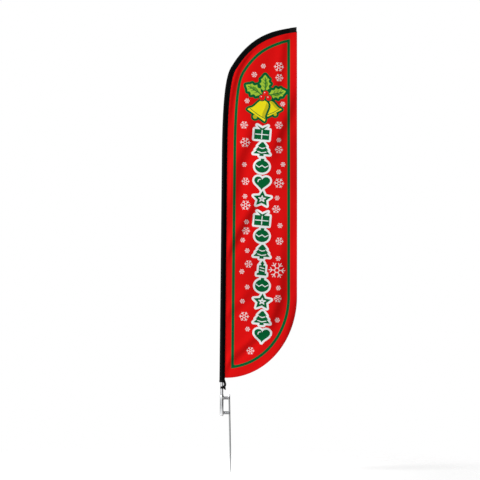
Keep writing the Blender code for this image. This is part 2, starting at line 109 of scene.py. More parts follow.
class Finish:
    """A material, or the sky, whose nodes are added one at a time."""

    def __init__(self, name, owner=None, **constants):
        self.block = owner or bpy.data.materials.new(name)
        self.block.use_nodes = True
        self.tree = self.block.node_tree
        self.shader = self.tree.nodes.get("Principled BSDF")
        for socket, value in constants.items():
            self.shader.inputs[socket.replace("_", " ")].default_value = value

    def node(self, kind, settings=None, inputs=None, output=0):
        """Add a node: its settings first, then the values or links of its sockets."""
        made = self.tree.nodes.new(kind)
        for key, value in (settings or {}).items():
            if key == "stops":
                ramp = made.color_ramp.elements
                while len(ramp) < len(value):
                    ramp.new(0.5)
                for element, (place, shade) in zip(ramp, value):
                    element.position = place
                    element.color = (*(shade if isinstance(shade, tuple) else (shade,) * 3), 1.0)
            else:
                setattr(made, key, value)
        for key, value in (inputs or {}).items():
            self.connect(made.inputs[key], value)
        return Value(self, made.outputs[output])

    def connect(self, socket, value):
        """Link a socket to a value, or set it."""
        if isinstance(value, Value):
            self.tree.links.new(value.socket, socket)
        elif isinstance(value, tuple) and len(value) == 3 and socket.type == "RGBA":
            socket.default_value = (*value, 1.0)
        else:
            socket.default_value = value

    def feed(self, **values):
        """Drive the shader's own sockets."""
        for socket, value in values.items():
            self.connect(self.shader.inputs[socket.replace("_", " ")], value)
        return self.block

    def blend(self, factor, low, high, mode="MIX"):
        """Mix two colours."""
        settings = {"data_type": "RGBA", "blend_type": mode}
        return self.node("ShaderNodeMix", settings, {0: factor, 6: low, 7: high}, 2)

    def grain(self, scale, detail=3.0, stretch=(1.0, 1.0, 1.0), where=None, output=0):
        """Noise over the piece, stretched along an axis where that is wanted."""
        place = where or self.node("ShaderNodeTexCoord", output=3)
        sized = self.node("ShaderNodeMapping", None, {0: place, 3: stretch})
        inputs = {0: sized, "Scale": scale, "Detail": detail}
        return self.node("ShaderNodeTexNoise", None, inputs, output)

    def relief(self, height, strength, distance, over=None):
        """Bump from a height."""
        inputs = {"Height": height, "Strength": strength, "Distance": distance}
        if over:
            inputs["Normal"] = over
        return self.node("ShaderNodeBump", None, inputs)


def shaped(name, bm, finish, smooth_angle=40.0):
    """Store a bmesh as an object with a material, shaded smooth with sharp edges kept."""
    bmesh.ops.recalc_face_normals(bm, faces=bm.faces)
    mesh = bpy.data.meshes.new(name)
    bm.to_mesh(mesh)
    bm.free()
    mesh.shade_smooth()
    mesh.set_sharp_from_angle(angle=math.radians(smooth_angle))
    mesh.materials.append(finish)
    made = bpy.data.objects.new(name, mesh)
    bpy.context.scene.collection.objects.link(made)
    return made


def studio_floor():
    """Pale disc whose edge fades away."""
    low = cad_box[0].z
    bm = bmesh.new()
    bmesh.ops.create_circle(bm, cap_ends=True, segments=64, radius=FLOOR_RADIUS)
    finish = Finish("floor_paint", Roughness=0.9)
    place = finish.node("ShaderNodeTexCoord", output=3)
    far = finish.node("ShaderNodeVectorMath", {"operation": "LENGTH"}, {0: place}, 1)
    fade = finish.node(
        "ShaderNodeMapRange",
        {"interpolation_type": "SMOOTHSTEP"},
        {0: far, 1: FLOOR_RADIUS * 0.1, 2: FLOOR_RADIUS * 0.9, 3: 1.0, 4: 0.0},
    )
    tone = finish.blend(finish.grain(14.0), (0.84, 0.84, 0.84), (0.88, 0.88, 0.88))
    floor = shaped("studio_floor", bm, finish.feed(Base_Color=tone, Alpha=fade))
    floor.location = (0.1, 0.0, low - 0.001)


def studio_sky():
    """White to look at, a dim even fill for cloth, and for metal a bright front that ends to the right."""
    world = bpy.data.worlds.new("studio_sky")
    bpy.context.scene.world = world
    world.cycles.sampling_method = "NONE"
    sky = Finish("studio_sky", owner=world)
    ray = sky.node("ShaderNodeTexCoord", output=0)

    def towards(x, y, z):
        return sky.node("ShaderNodeVectorMath", {"operation": "DOT_PRODUCT"}, {0: ray, 1: (x, y, z)}, 1)

    bright = ((0.0, 0.04), (0.56, 0.04), (0.68, 0.42), (0.88, 0.95))
    front = towards(-0.64, -0.76, 0.1) * 0.5 + 0.5
    shine = sky.node("ShaderNodeValToRGB", {"stops": bright}, {0: front})
    side = {0: towards(-1.0, 0.0, 0.0), 1: 0.7, 2: 1.0, 3: 1.0, 4: 0.5}
    left = sky.node("ShaderNodeMapRange", None, side)
    paths = sky.node("ShaderNodeLightPath").socket.node.outputs
    seen, soft, glossy = (Value(sky, paths[i]) for i in (0, 2, 3))
    background = sky.tree.nodes["Background"]
    background.inputs["Color"].default_value = (1.0, 1.0, 1.0, 1.0)
    sky.connect(background.inputs["Strength"], seen + soft * SKY_FILL + glossy * shine * left)


def studio_light(name, place, aim, size, power):
    """Large square soft light."""
    lamp = bpy.data.lights.new(name, "AREA")
    lamp.shape = "SQUARE"
    lamp.size = size
    lamp.energy = power
    made = bpy.data.objects.new(name, lamp)
    bpy.context.scene.collection.objects.link(made)
    made.location = place
    made.rotation_euler = (Vector(aim) - Vector(place)).to_track_quat("-Z", "Y").to_euler()


def studio_camera():
    """Long lens square to the printed face, rolled by the pole's slight lean."""
    data = bpy.data.cameras.new("studio_camera")
    data.lens = LENS
    data.clip_end = 200.0
    camera = bpy.data.objects.new("studio_camera", data)
    bpy.context.scene.collection.objects.link(camera)
    middle = Vector((0.170, 0.0, 1.7614))
    camera.location = middle - Vector((0.0, VIEW_HEIGHT * LENS / data.sensor_width, 0.0))
    camera.rotation_euler = (math.pi / 2.0, 0.0, 0.0)
    camera.rotation_euler.rotate_axis("Z", LEAN)
    bpy.context.scene.camera = camera


studio_floor()
studio_sky()
studio_light("key_light", (-7.1, -3.7, 5.3), (0.3, 0.0, 1.9), 2.2, 1240.0)
studio_light("back_light", (-7.1, 3.7, 5.3), (0.3, 0.0, 1.9), 2.2, 1240.0)
studio_camera()
bpy.context.scene.view_settings.view_transform = "Standard"

# Socket tube and foot -------------------------------------------------------------------------
# Welded steel tube, zinc plated, with a pressed foot closing its lower end. The rim is deburred
# and a faint weld line runs down the back of the tube.

SOCKET_LOW, SOCKET_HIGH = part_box("socket_tube")
SOCKET_RADIUS = SOCKET_HIGH.x
SOCKET_WALL = 0.0017
FOOT_ROUNDING = 0.006
ROUND_STEPS = 72


def turned(name, profile, finish, steps=ROUND_STEPS, closed=True, smooth_angle=40.0, shape=None):
    """Body turned round Z from (radius, height) points; shape may vary the radius round the turn."""
    bm = bmesh.new()
    rings = []
    for radius, height in profile:
        if radius == 0.0:
            rings.append([bm.verts.new((0.0, 0.0, height))] * steps)
            continue
        ring = []
        for i in range(steps):
            turn = 2.0 * math.pi * i / steps
            reach = radius + (shape(turn, height) if shape else 0.0)
            ring.append(bm.verts.new((reach * math.cos(turn), reach * math.sin(turn), height)))
        rings.append(ring)
    pairs = list(zip(rings, rings[1:]))
    if closed:
        pairs.append((rings[-1], rings[0]))
    for first, second in pairs:
        for i in range(steps):
            j = (i + 1) % steps
            corners = list(dict.fromkeys((first[i], first[j], second[j], second[i])))
            if len(corners) > 2:
                bm.faces.new(corners)
    return shaped(name, bm, finish, smooth_angle)


def zinc_plate(name, tone, worn):
    """Zinc plated steel: soft grey clouds, fine drawn lines and a few rubbed patches."""
    finish = Finish(name, Metallic=1.0)
    cloud = finish.grain(9.0, 4.0)
    drawn = finish.grain(60.0, 2.0, (6.0, 6.0, 0.25))
    spangle = finish.node("ShaderNodeTexVoronoi", None, {"Scale": 130.0}, 1)
    plate = finish.blend(cloud, tuple(t * 0.86 for t in tone), tone)
    plate = finish.blend(0.16, plate, spangle, "SOFT_LIGHT")
    patches = {"stops": ((0.60, 0.0), (0.72, 1.0))}
    rubbed = finish.node("ShaderNodeValToRGB", patches, {0: finish.grain(5.0, 6.0)})
    plate = finish.blend(rubbed, plate, worn)
    finish.feed(Base_Color=plate, Roughness=0.18 + 0.16 * cloud + 0.08 * drawn)
    return finish.feed(Normal=finish.relief(drawn + 0.5 * cloud, 0.25, 0.0003))


ZINC = zinc_plate("zinc_plate", (0.66, 0.67, 0.68), (0.55, 0.54, 0.52))


def socket_shape(turn, _):
    """The tube's weld line: a low ridge on its rear side."""
    off = (turn - math.radians(80.0)) / 0.05
    return 0.00025 * math.exp(-off * off)


socket_tube = turned(
    "stake_socket",
    [
        (SOCKET_RADIUS - SOCKET_WALL, SOCKET_LOW.z),
        (SOCKET_RADIUS - 0.0004, SOCKET_LOW.z),
        (SOCKET_RADIUS, SOCKET_LOW.z + 0.0006),
        (SOCKET_RADIUS, SOCKET_HIGH.z - 0.0008),
        (SOCKET_RADIUS - 0.0003, SOCKET_HIGH.z - 0.0002),
        (SOCKET_RADIUS - 0.0008, SOCKET_HIGH.z),
        (SOCKET_RADIUS - SOCKET_WALL + 0.0003, SOCKET_HIGH.z),
        (SOCKET_RADIUS - SOCKET_WALL, SOCKET_HIGH.z - 0.0003),
    ],
    ZINC,
    shape=socket_shape,
)
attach(socket_tube, "stake")
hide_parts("socket_tube")

foot_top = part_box("socket_foot")[1].z
foot_turns = [math.pi / 2.0 * i / 10 for i in range(11)]
foot_profile = [(0.0, 0.0)]
for turn in foot_turns:
    drawn_in = FOOT_ROUNDING * (1.0 - math.sin(turn))
    foot_profile.append((SOCKET_RADIUS - drawn_in, FOOT_ROUNDING * (1.0 - math.cos(turn))))
foot_profile += [(SOCKET_RADIUS, foot_top - 0.0004), (SOCKET_RADIUS - 0.0004, foot_top)]
foot_profile.append((0.0, foot_top))
foot = turned("stake_foot", foot_profile, ZINC, closed=False)
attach(foot, "stake")
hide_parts("socket_foot")

# Spike ----------------------------------------------------------------------------------------
# Round steel bar, cropped and chamfered at the top and ground to a long point; it splays away
# from the socket by a degree and a half.

SPIKE_RADIUS = 0.008
SPIKE_LEAN = math.radians(1.5)
SPIKE_OFFSET = 0.080
SPIKE_TOP = 0.215
SPIKE_DEPTH = 0.577
SPIKE_POINT = 0.055


def spike_profile():
    """Chamfered head, straight shank, and a point that is drawn in slightly before it is ground."""
    profile = [(0.0, SPIKE_TOP), (SPIKE_RADIUS - 0.0012, SPIKE_TOP), (SPIKE_RADIUS, SPIKE_TOP - 0.0012)]
    shank = SPIKE_POINT - SPIKE_DEPTH
    profile += [(SPIKE_RADIUS, SPIKE_TOP - 0.06 * i) for i in range(1, 12)]
    profile += [(SPIKE_RADIUS, shank)]
    for i in range(1, 10):
        share = i / 10.0
        profile.append((SPIKE_RADIUS * (1.0 - share) ** 0.8, shank - SPIKE_POINT * share))
    return profile + [(0.0, -SPIKE_DEPTH)]


SPIKE_STEEL = zinc_plate("spike_steel", (0.44, 0.45, 0.455), (0.33, 0.32, 0.31))


def hammered(turn, height):
    """Slight unevenness of a hot rolled bar."""
    return 0.00015 * noise.noise(Vector((math.cos(turn) * 1.5, math.sin(turn) * 1.5, height * 40.0)))


spike = turned(
    "stake_spike",
    spike_profile(),
    SPIKE_STEEL,
    32,
    closed=False,
    smooth_angle=50.0,
    shape=hammered,
)
spike.location = (SPIKE_OFFSET, 0.0, 0.0)
spike.rotation_euler = (0.0, -SPIKE_LEAN, 0.0)
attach(spike, "stake")
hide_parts("spike_rod")

# Bridge bars and welds ------------------------------------------------------------------------
# Two short ribbed bars hold the spike beside the socket. Their ends are coped to the tube and the
# spike and welded all round, with a rippled bead.

BAR_RADIUS = 0.015
BAR_RIBS = 9
BAR_RIB_DEPTH = 0.0011
BAR_HEIGHTS = {"lower_bridge": 0.032, "upper_bridge": SOCKET_HIGH.z - 0.030}
BEAD_RADIUS = 0.0028
BAR_STEEL = zinc_plate("welded_bar", (0.24, 0.245, 0.25), (0.18, 0.175, 0.17))


def spike_x(height):
    """Where the spike's axis stands at a height."""
    return SPIKE_OFFSET - height * math.tan(SPIKE_LEAN)


def bridge_bar(name, height):
    """Ribbed bar along X, of rings that are bent to the tube at one end and the spike at the other."""
    bm = bmesh.new()
    steps = 48
    lengths = 120
    rings = []
    for k in range(lengths + 1):
        share = k / lengths
        swell = 0.5 + 0.5 * math.cos(2.0 * math.pi * (share * BAR_RIBS + 0.5))
        radius = BAR_RADIUS - BAR_RIB_DEPTH * (1.0 - swell**0.4)
        ring = []
        for i in range(steps):
            turn = 2.0 * math.pi * i / steps
            y = radius * math.cos(turn)
            z = height + radius * math.sin(turn)
            near = math.sqrt(SOCKET_RADIUS**2 - y * y) + 0.0002
            bite = max(SPIKE_RADIUS**2 - y * y, 0.0)
            far = spike_x(z) - math.sqrt(bite) - 0.0004
            ring.append(bm.verts.new((near + (far - near) * share, y, z)))
        rings.append(ring)
    for first, second in zip(rings, rings[1:]):
        for i in range(steps):
            j = (i + 1) % steps
            bm.faces.new((first[i], first[j], second[j], second[i]))
    bm.faces.new(rings[0])
    bm.faces.new(rings[-1])
    made = shaped(name.replace("bridge", "bar"), bm, BAR_STEEL, 60.0)
    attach(made, "stake")
    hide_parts(name)


def bead(bm, path, closed):
    """Weld bead along a path, built up in overlapping ripples."""
    count = len(path)
    rings = []
    for k, point in enumerate(path):
        after = path[(k + 1) % count] if closed or k < count - 1 else point
        before = path[k - 1] if closed or k else point
        along = (after - before).normalized()
        out = Vector((1.0, 0.0, 0.0)).cross(along)
        out = out.normalized() if out.length > 0.01 else Vector((0.0, 1.0, 0.0))
        side = along.cross(out).normalized()
        ripple = BEAD_RADIUS * (1.0 + 0.10 * math.sin(k * 1.9) + 0.10 * noise.noise(point * 300.0))
        if not closed:
            ripple *= math.sin(math.pi * (k + 0.6) / (count + 0.2)) ** 0.3
        turns = [2.0 * math.pi * i / 8 for i in range(8)]
        ways = [out * math.cos(a) + side * math.sin(a) for a in turns]
        rings.append([bm.verts.new(point + ripple * way) for way in ways])
    pairs = list(zip(rings, rings[1:])) + ([(rings[-1], rings[0])] if closed else [])
    for first, second in pairs:
        for i in range(8):
            bm.faces.new((first[i], first[(i + 1) % 8], second[(i + 1) % 8], second[i]))
    if not closed:
        bm.faces.new(rings[0])
        bm.faces.new(rings[-1])


def weld_beads(name, height):
    """Bead round the bar at the socket, and one down each side of the spike."""
    bm = bmesh.new()
    around = []
    for i in range(72):
        turn = 2.0 * math.pi * i / 72
        y = BAR_RADIUS * math.cos(turn)
        x = math.sqrt(SOCKET_RADIUS**2 - y * y) + 0.0006
        around.append(Vector((x, y, height + BAR_RADIUS * math.sin(turn))))
    bead(bm, around, True)
    reach = 0.95 * math.sqrt(BAR_RADIUS**2 - SPIKE_RADIUS**2)
    for side in (-1.0, 1.0):
        rise = [height + reach * (2.0 * i / 19 - 1.0) for i in range(20)]
        y = side * (SPIKE_RADIUS + 0.0004)
        bead(bm, [Vector((spike_x(z) - 0.0008, y, z)) for z in rise], False)
    made = shaped(name, bm, WELD, 70.0)
    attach(made, "stake")


def weld_metal():
    """Weld metal: grey-brown, tinted round the ripples and rougher than the plate."""
    finish = Finish("weld_metal", Metallic=1.0)
    cloud = finish.grain(90.0, 4.0)
    tone = finish.blend(cloud, (0.26, 0.24, 0.22), (0.50, 0.49, 0.48))
    finish.feed(Base_Color=tone, Roughness=0.42 + 0.2 * cloud)
    return finish.feed(Normal=finish.relief(cloud, 0.5, 0.0005))


WELD = weld_metal()
for bar_name, bar_height in BAR_HEIGHTS.items():
    bridge_bar(bar_name, bar_height)
    weld_beads(bar_name.replace("bridge", "welds"), bar_height)

# Socket liner ---------------------------------------------------------------------------------
# Moulded nylon cup that the pole turns in. Only its flange shows, on the socket's rim.

LINER_LOW, LINER_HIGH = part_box("socket_liner")
LINER_BORE = 0.0143
LINER_OUTER = 0.0155
LINER_FLOOR = 0.002


def moulded(name, tone, roughness, speckle=0.1):
    """Moulded plastic or rubber with a faint flow pattern and a fine texture."""
    finish = Finish(name)
    flow = finish.grain(24.0, 3.0)
    pitted = finish.grain(900.0, 1.0)
    dark = tuple(t * (1.0 - speckle) for t in tone)
    finish.feed(Base_Color=finish.blend(flow, dark, tone), Roughness=roughness + 0.1 * flow)
    return finish.feed(Normal=finish.relief(pitted, 0.2, 0.0002))


NYLON = moulded("nylon", (0.22, 0.225, 0.23), 0.42)
flange = LINER_HIGH.z - 0.0025
liner = turned(
    "socket_bush",
    [
        (0.0, LINER_LOW.z),
        (LINER_OUTER - 0.001, LINER_LOW.z),
        (LINER_OUTER, LINER_LOW.z + 0.001),
        (LINER_OUTER, flange),
        (LINER_HIGH.x - 0.0004, flange),
        (LINER_HIGH.x, flange + 0.0005),
        (LINER_HIGH.x, LINER_HIGH.z - 0.0010),
        (LINER_HIGH.x - 0.0004, LINER_HIGH.z - 0.0003),
        (LINER_HIGH.x - 0.0012, LINER_HIGH.z),
        (LINER_BORE + 0.0006, LINER_HIGH.z),
        (LINER_BORE, LINER_HIGH.z - 0.0006),
        (LINER_BORE, LINER_LOW.z + LINER_FLOOR),
        (0.0, LINER_LOW.z + LINER_FLOOR),
    ],
    NYLON,
    closed=False,
)
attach(liner, "liner")
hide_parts("socket_liner")

# Pole tubes, plug and collars -----------------------------------------------------------------
# Drawn aluminium tubes, each slipped into the one below, with moulded stop collars that seat on
# the rims and a plug in the foot. Rims are deburred.

TUBE_WALL = 0.0012


def drawn_aluminium():
    """Bright drawn aluminium with long die lines and faint scuffs round the tube."""
    finish = Finish("drawn_aluminium", Metallic=1.0)
    lines = finish.grain(220.0, 2.0, (1.0, 1.0, 0.006))
    scuffs = finish.grain(40.0, 5.0, (0.4, 0.4, 3.0))
    tone = finish.blend(lines, (0.72, 0.73, 0.75), (0.86, 0.87, 0.88))
    finish.feed(Base_Color=tone, Roughness=0.16 + 0.14 * scuffs + 0.08 * lines)
    return finish.feed(Normal=finish.relief(lines + 0.6 * scuffs, 0.12, 0.0003))


ALUMINIUM = drawn_aluminium()
PLASTIC = moulded("black_plastic", (0.022, 0.022, 0.023), 0.42)
RUBBER = moulded("black_rubber", (0.018, 0.018, 0.018), 0.68)
TUBES = {
    "pole_section_1": "lower_pole",
    "pole_section_2": "middle_pole",
    "pole_section_3": "upper_pole",
}
COLLARS = {"stop_collar_2": "middle_pole", "stop_collar_3": "upper_pole"}


def rounded_tube(name, node, body, finish, bore, edge):
    """Tube as long and as wide as its node, with eased rims."""
    low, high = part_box(node)
    profile = [
        (bore, low.z + edge),
        (bore + edge, low.z),
        (high.x - edge, low.z),
        (high.x, low.z + edge),
        (high.x, high.z - edge),
        (high.x - edge, high.z),
        (bore + edge, high.z),
        (bore, high.z - edge),
    ]
    made = turned(name, profile, finish, 64)
    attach(made, body)
    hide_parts(node)


for node, body in TUBES.items():
    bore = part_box(node)[1].x - TUBE_WALL
    rounded_tube(node.replace("section", "tube"), node, body, ALUMINIUM, bore, 0.0003)
for node, body in COLLARS.items():
    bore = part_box(node.replace("stop_collar", "pole_section"))[1].x + 0.0003
    rounded_tube(node + "_moulding", node, body, PLASTIC, bore, 0.0008)


def dress(node, finish):
    """Give a carried-over node its finish."""
    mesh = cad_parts[node].data
    mesh.materials.clear()
    mesh.materials.append(finish)


dress("foot_plug", PLASTIC)

# Flexible tip ---------------------------------------------------------------------------------
# Pultruded fibreglass rod, drawn down towards its end, glued into an aluminium ferrule and
# closed with a rubber cap. It stays hidden in the sleeve.


def pultruded():
    """Pale fibreglass with glass strands running along the rod."""
    finish = Finish("fibreglass", Roughness=0.32, Coat_Weight=0.3)
    strands = finish.grain(500.0, 2.0, (1.0, 1.0, 0.02))
    tone = finish.blend(strands, (0.58, 0.56, 0.46), (0.80, 0.79, 0.72))
    return finish.feed(Base_Color=tone, Normal=finish.relief(strands, 0.15, 0.0002))


dress("fibreglass_tip", pultruded())
dress("tip_ferrule", ALUMINIUM)
dress("tip_cap", RUBBER)

# Pole sleeve ----------------------------------------------------------------------------------
# Black knitted polyester, folded double round the pole and sewn to the flag along one seam. It
# is open at the foot, sewn shut at the tip, and puckers where it follows the arch.

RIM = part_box("pole_section_3")[1].z
POLE_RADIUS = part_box("pole_section_1")[1].x
MOUTH = Vector((-POLE_RADIUS - 0.011, 0.0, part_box("pole_sleeve")[0].z))
REACH = 0.7234
ARCH = (
    ((-POLE_RADIUS - 0.005, RIM - 0.354), math.radians(90.0), 0.0, 0.50),
    ((0.064, RIM + 0.611), math.radians(59.7), 0.134, 0.394),
    ((REACH, RIM + 1.021), math.radians(7.8), 0.225, 0.0),
)
SLEEVE_WIDTH = 2.0 * POLE_RADIUS + 0.027
TIP_WIDTH = SLEEVE_WIDTH - 0.007
TIP_TAPER = 0.30
SLEEVE_DEPTH = POLE_RADIUS + 0.0035
ARCH_DEPTH = 0.0092
ROD_INSET = 0.0105
SEAM_DEPTH = 0.0012
FLY_LEAN = math.radians(0.45)
SLEEVE_STEP = 0.010
CLOTH_GAP = 0.0003


def smoothstep(low, high, value):
    """Eased rise from 0 at low to 1 at high."""
    t = min(max((value - low) / (high - low), 0.0), 1.0)
    return t * t * (3.0 - 2.0 * t)


class SleeveEdge:
    """Sleeve's outer edge as a path from the mouth, with the direction across it to the flag."""

    def __init__(self):
        points = [MOUTH.lerp(Vector((ARCH[0][0][0], 0.0, ARCH[0][0][1])), i / 60.0) for i in range(60)]
        for (start, heading0, _, reach0), (end, heading1, reach1, _) in zip(ARCH, ARCH[1:]):
            p0 = Vector((start[0], 0.0, start[1]))
            p1 = Vector((end[0], 0.0, end[1]))
            h0 = p0 + reach0 * Vector((math.cos(heading0), 0.0, math.sin(heading0)))
            h1 = p1 - reach1 * Vector((math.cos(heading1), 0.0, math.sin(heading1)))
            points += interpolate_bezier(p0, h0, h1, p1, 160)[: 159 if p1.x < REACH else 160]
        self.points = np.array([(p.x, p.z) for p in points])
        steps = np.linalg.norm(np.diff(self.points, axis=0), axis=1)
        self.lengths = np.concatenate(([0.0], np.cumsum(steps)))
        self.length = float(self.lengths[-1])
        self.headings = np.gradient(self.points, self.lengths, axis=0)

    def at(self, distance):
        """Point on the edge and the unit vector across the sleeve."""
        x, z = (float(np.interp(distance, self.lengths, self.points[:, i])) for i in (0, 1))
        dx, dz = (float(np.interp(distance, self.lengths, self.headings[:, i])) for i in (0, 1))
        across = Vector((dz, 0.0, -dx)).normalized()
        down = Vector((math.sin(FLY_LEAN), 0.0, -math.cos(FLY_LEAN)))
        turn = smoothstep(self.length - TIP_TAPER, self.length, distance)
        return Vector((x, 0.0, z)), across.lerp(down, turn).normalized()

    def width(self, distance):
        """Sleeve's width from its outer edge to the seam."""
        turn = smoothstep(self.length - TIP_TAPER, self.length, distance)
        return SLEEVE_WIDTH + (TIP_WIDTH - SLEEVE_WIDTH) * turn

    def slim(self, distance):
        """0 round the tubes, 1 round the rod."""
        return smoothstep(RIM + 0.046, RIM + 0.326, self.at(distance)[0].z)

    def inset(self, distance):
        """Distance across from the outer edge to the pole's middle."""
        point, across = self.at(distance)
        slim = self.slim(distance)
        return -point.x / max(across.x, 0.2) * (1.0 - slim) + ROD_INSET * slim

    def seam(self, distance, beyond=0.0):
        """Point on the seam with the flag, or beyond it."""
        point, across = self.at(distance)
        return point + across * (self.width(distance) + beyond)


EDGE = SleeveEdge()


def drop_section(distance, grow, side_steps=9, pucker=True, closed=True):
    """Section of the sleeve: round over the pole, then two flat layers that meet at the seam."""
    point, across = EDGE.at(distance)
    middle = EDGE.inset(distance)
    slim = EDGE.slim(distance)
    depth = SLEEVE_DEPTH + (ARCH_DEPTH - SLEEVE_DEPTH) * slim
    width = EDGE.width(distance)
    side = []
    for i in range(1, side_steps + 1):
        turn = math.pi / 2.0 * i / side_steps
        side.append((middle - (middle + grow) * math.cos(turn), (depth + grow) * math.sin(turn)))
    for i in range(1, 2 * side_steps + 1):
        share = i / (2.0 * side_steps)
        ease = (1.0 + math.cos(math.pi * share)) / 2.0
        half = SEAM_DEPTH + grow + (depth - SEAM_DEPTH) * ease
        side.append((middle + (width + (grow if closed else 0.0) - middle) * share, half))
    outline = [(n, -y) for n, y in reversed(side)] + [(-grow, 0.0)] + side
    ring = []
    for n, y in outline:
        place = point + across * n
        crease = 0.0
        if pucker:
            web = min(max((n - middle) / (width - middle), 0.0), 1.0)
            sway = noise.noise(Vector((n * 30.0, math.copysign(3.0, y), distance * 5.0)))
            fine = noise.noise(Vector((n * 60.0, math.copysign(7.0, y), distance * 26.0)))
            gather = math.sin(distance * 190.0 + 2.0 * sway + (1.3 if y > 0.0 else 0.0))
            crease = web * (1.0 - web) * (0.0050 * sway + 0.0022 * fine)
            crease += 0.0011 * slim * gather * web**2 * (1.0 - web)
        if abs(y) <= 0.001:
            crease = 0.0
        ring.append(place + Vector((0.0, y + math.copysign(crease, y), 0.0)))
    return ring


def lofted(name, rings, finish, lay, closed=True, ends=(True, True), smooth_angle=60.0):
    """Skin through rings. Its map holds metres along the piece and round it, for weave and ribs."""
    bm = bmesh.new()
    cloth_map = bm.loops.layers.uv.new("Lay")
    loops = [[bm.verts.new(p) for p in ring] for ring in rings]
    count = len(rings[0])
    round_by = [0.0]
    for a, b in zip(rings[0], rings[0][1:] + rings[0][:1]):
        round_by.append(round_by[-1] + (b - a).length)
    for k, (first, second) in enumerate(zip(loops, loops[1:])):
        for i in range(count if closed else count - 1):
            j = (i + 1) % count
            face = bm.faces.new((first[i], first[j], second[j], second[i]))
            corners = ((k, i), (k, i + 1), (k + 1, i + 1), (k + 1, i))
            for loop, (row, column) in zip(face.loops, corners):
                loop[cloth_map].uv = (lay[row], round_by[column])
    for wanted, ring in zip(ends, (loops[0], loops[-1])):
        if wanted:
            bm.faces.new(ring)
    return shaped(name, bm, finish, smooth_angle)


def knitted(name, tone, sheen):
    """Knitted polyester: fine wales and courses in relief, cloudy tone and a soft sheen."""
    finish = Finish(name, Sheen_Weight=sheen, Sheen_Roughness=0.4, Specular_IOR_Level=0.04)
    lay = finish.node("ShaderNodeUVMap", {"uv_map": "Lay"})
    split = finish.node("ShaderNodeSeparateXYZ", None, {0: lay})
    wale = (Value(finish, split.socket.node.outputs[0]) * 5200.0).maths("SINE")
    course = (Value(finish, split.socket.node.outputs[1]) * 5200.0).maths("SINE")
    knit = wale * course
    cloud = finish.grain(18.0, 4.0)
    light = tuple(min(t * 1.2, 1.0) for t in tone)
    colour = finish.blend(cloud * 0.7 + knit * 0.15, tone, light)
    finish.feed(Base_Color=colour, Roughness=0.70 + 0.15 * cloud)
    crease = finish.relief(cloud, 0.35, 0.003)
    return finish.feed(Normal=finish.relief(knit, 0.25, 0.0002, over=crease))


BLACK_KNIT = knitted("black_knit", (0.0028, 0.0028, 0.0030), 0.0)
sleeve_lay = np.append(np.arange(0.0, EDGE.length - 0.001, SLEEVE_STEP), EDGE.length)
sleeve_rings = [drop_section(d, 0.0) for d in sleeve_lay]
sleeve = lofted("sleeve", sleeve_rings, BLACK_KNIT, sleeve_lay, ends=(False, True))
sleeve_thickness = sleeve.modifiers.new("cloth_thickness", "SOLIDIFY")
sleeve_thickness.thickness = 0.0009
sleeve_thickness.offset = -1.0
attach(sleeve, "flag")
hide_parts("pole_sleeve")

# Flag cloth -----------------------------------------------------------------------------------
# One layer of printed knit, sewn into the sleeve's seam. The print is a green border, a sprig of
# holly over two bells, a column of ornaments and falling snow; the free corner is round.

PANEL_LOW, PANEL_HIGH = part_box("flag_panel")
CORNER_HEIGHT = 0.811
CORNER_X = MOUTH.x + SLEEVE_WIDTH + 0.007
FLY_LENGTH = ARCH[-1][0][1] - PANEL_LOW.z - CORNER_HEIGHT
FLY_BOTTOM = Vector((REACH + FLY_LENGTH * math.tan(FLY_LEAN), PANEL_LOW.z + CORNER_HEIGHT))
CLOTH_GRID = 0.012
TUCK = 0.006
BORDER_ROUNDING = 16

RED = (0.70, 0.0048, 0.0048)
GREEN = (0.001, 0.112, 0.030)
WHITE = (0.80, 0.83, 0.83)
SNOW = (0.86, 0.74, 0.74)
LEAF = (0.36, 0.58, 0.045)
LEAF_DARK = (0.13, 0.33, 0.02)
GOLD = (0.90, 0.78, 0.012)
GOLD_DARK = (0.56, 0.50, 0.012)
BERRY = (0.78, 0.010, 0.008)


def steps_along(points, step):
    """The same outline with points no further apart than a step."""
    dense = []
    for a, b in zip(points, points[1:] + points[:1]):
        count = max(1, math.ceil((b - a).length / step))
        dense += [a.lerp(b, i / count) for i in range(count)]
    return dense


def corner_arc(inset, count):
    """Round free corner, drawn in from the cloth's edge by an inset, from the fly down to the foot."""
    arc = []
    for i in range(count + 1):
        turn = math.pi / 2.0 * i / count
        x = CORNER_X + (FLY_BOTTOM.x - inset - CORNER_X) * math.cos(turn)
        arc.append(Vector((x, FLY_BOTTOM.y - (CORNER_HEIGHT - inset) * math.sin(turn))))
    return arc


def fly_point(height, inset):
    """Point on the fly edge, or on a line drawn in from it."""
    return Vector((FLY_BOTTOM.x - inset - (height - FLY_BOTTOM.y) * math.tan(FLY_LEAN), height))


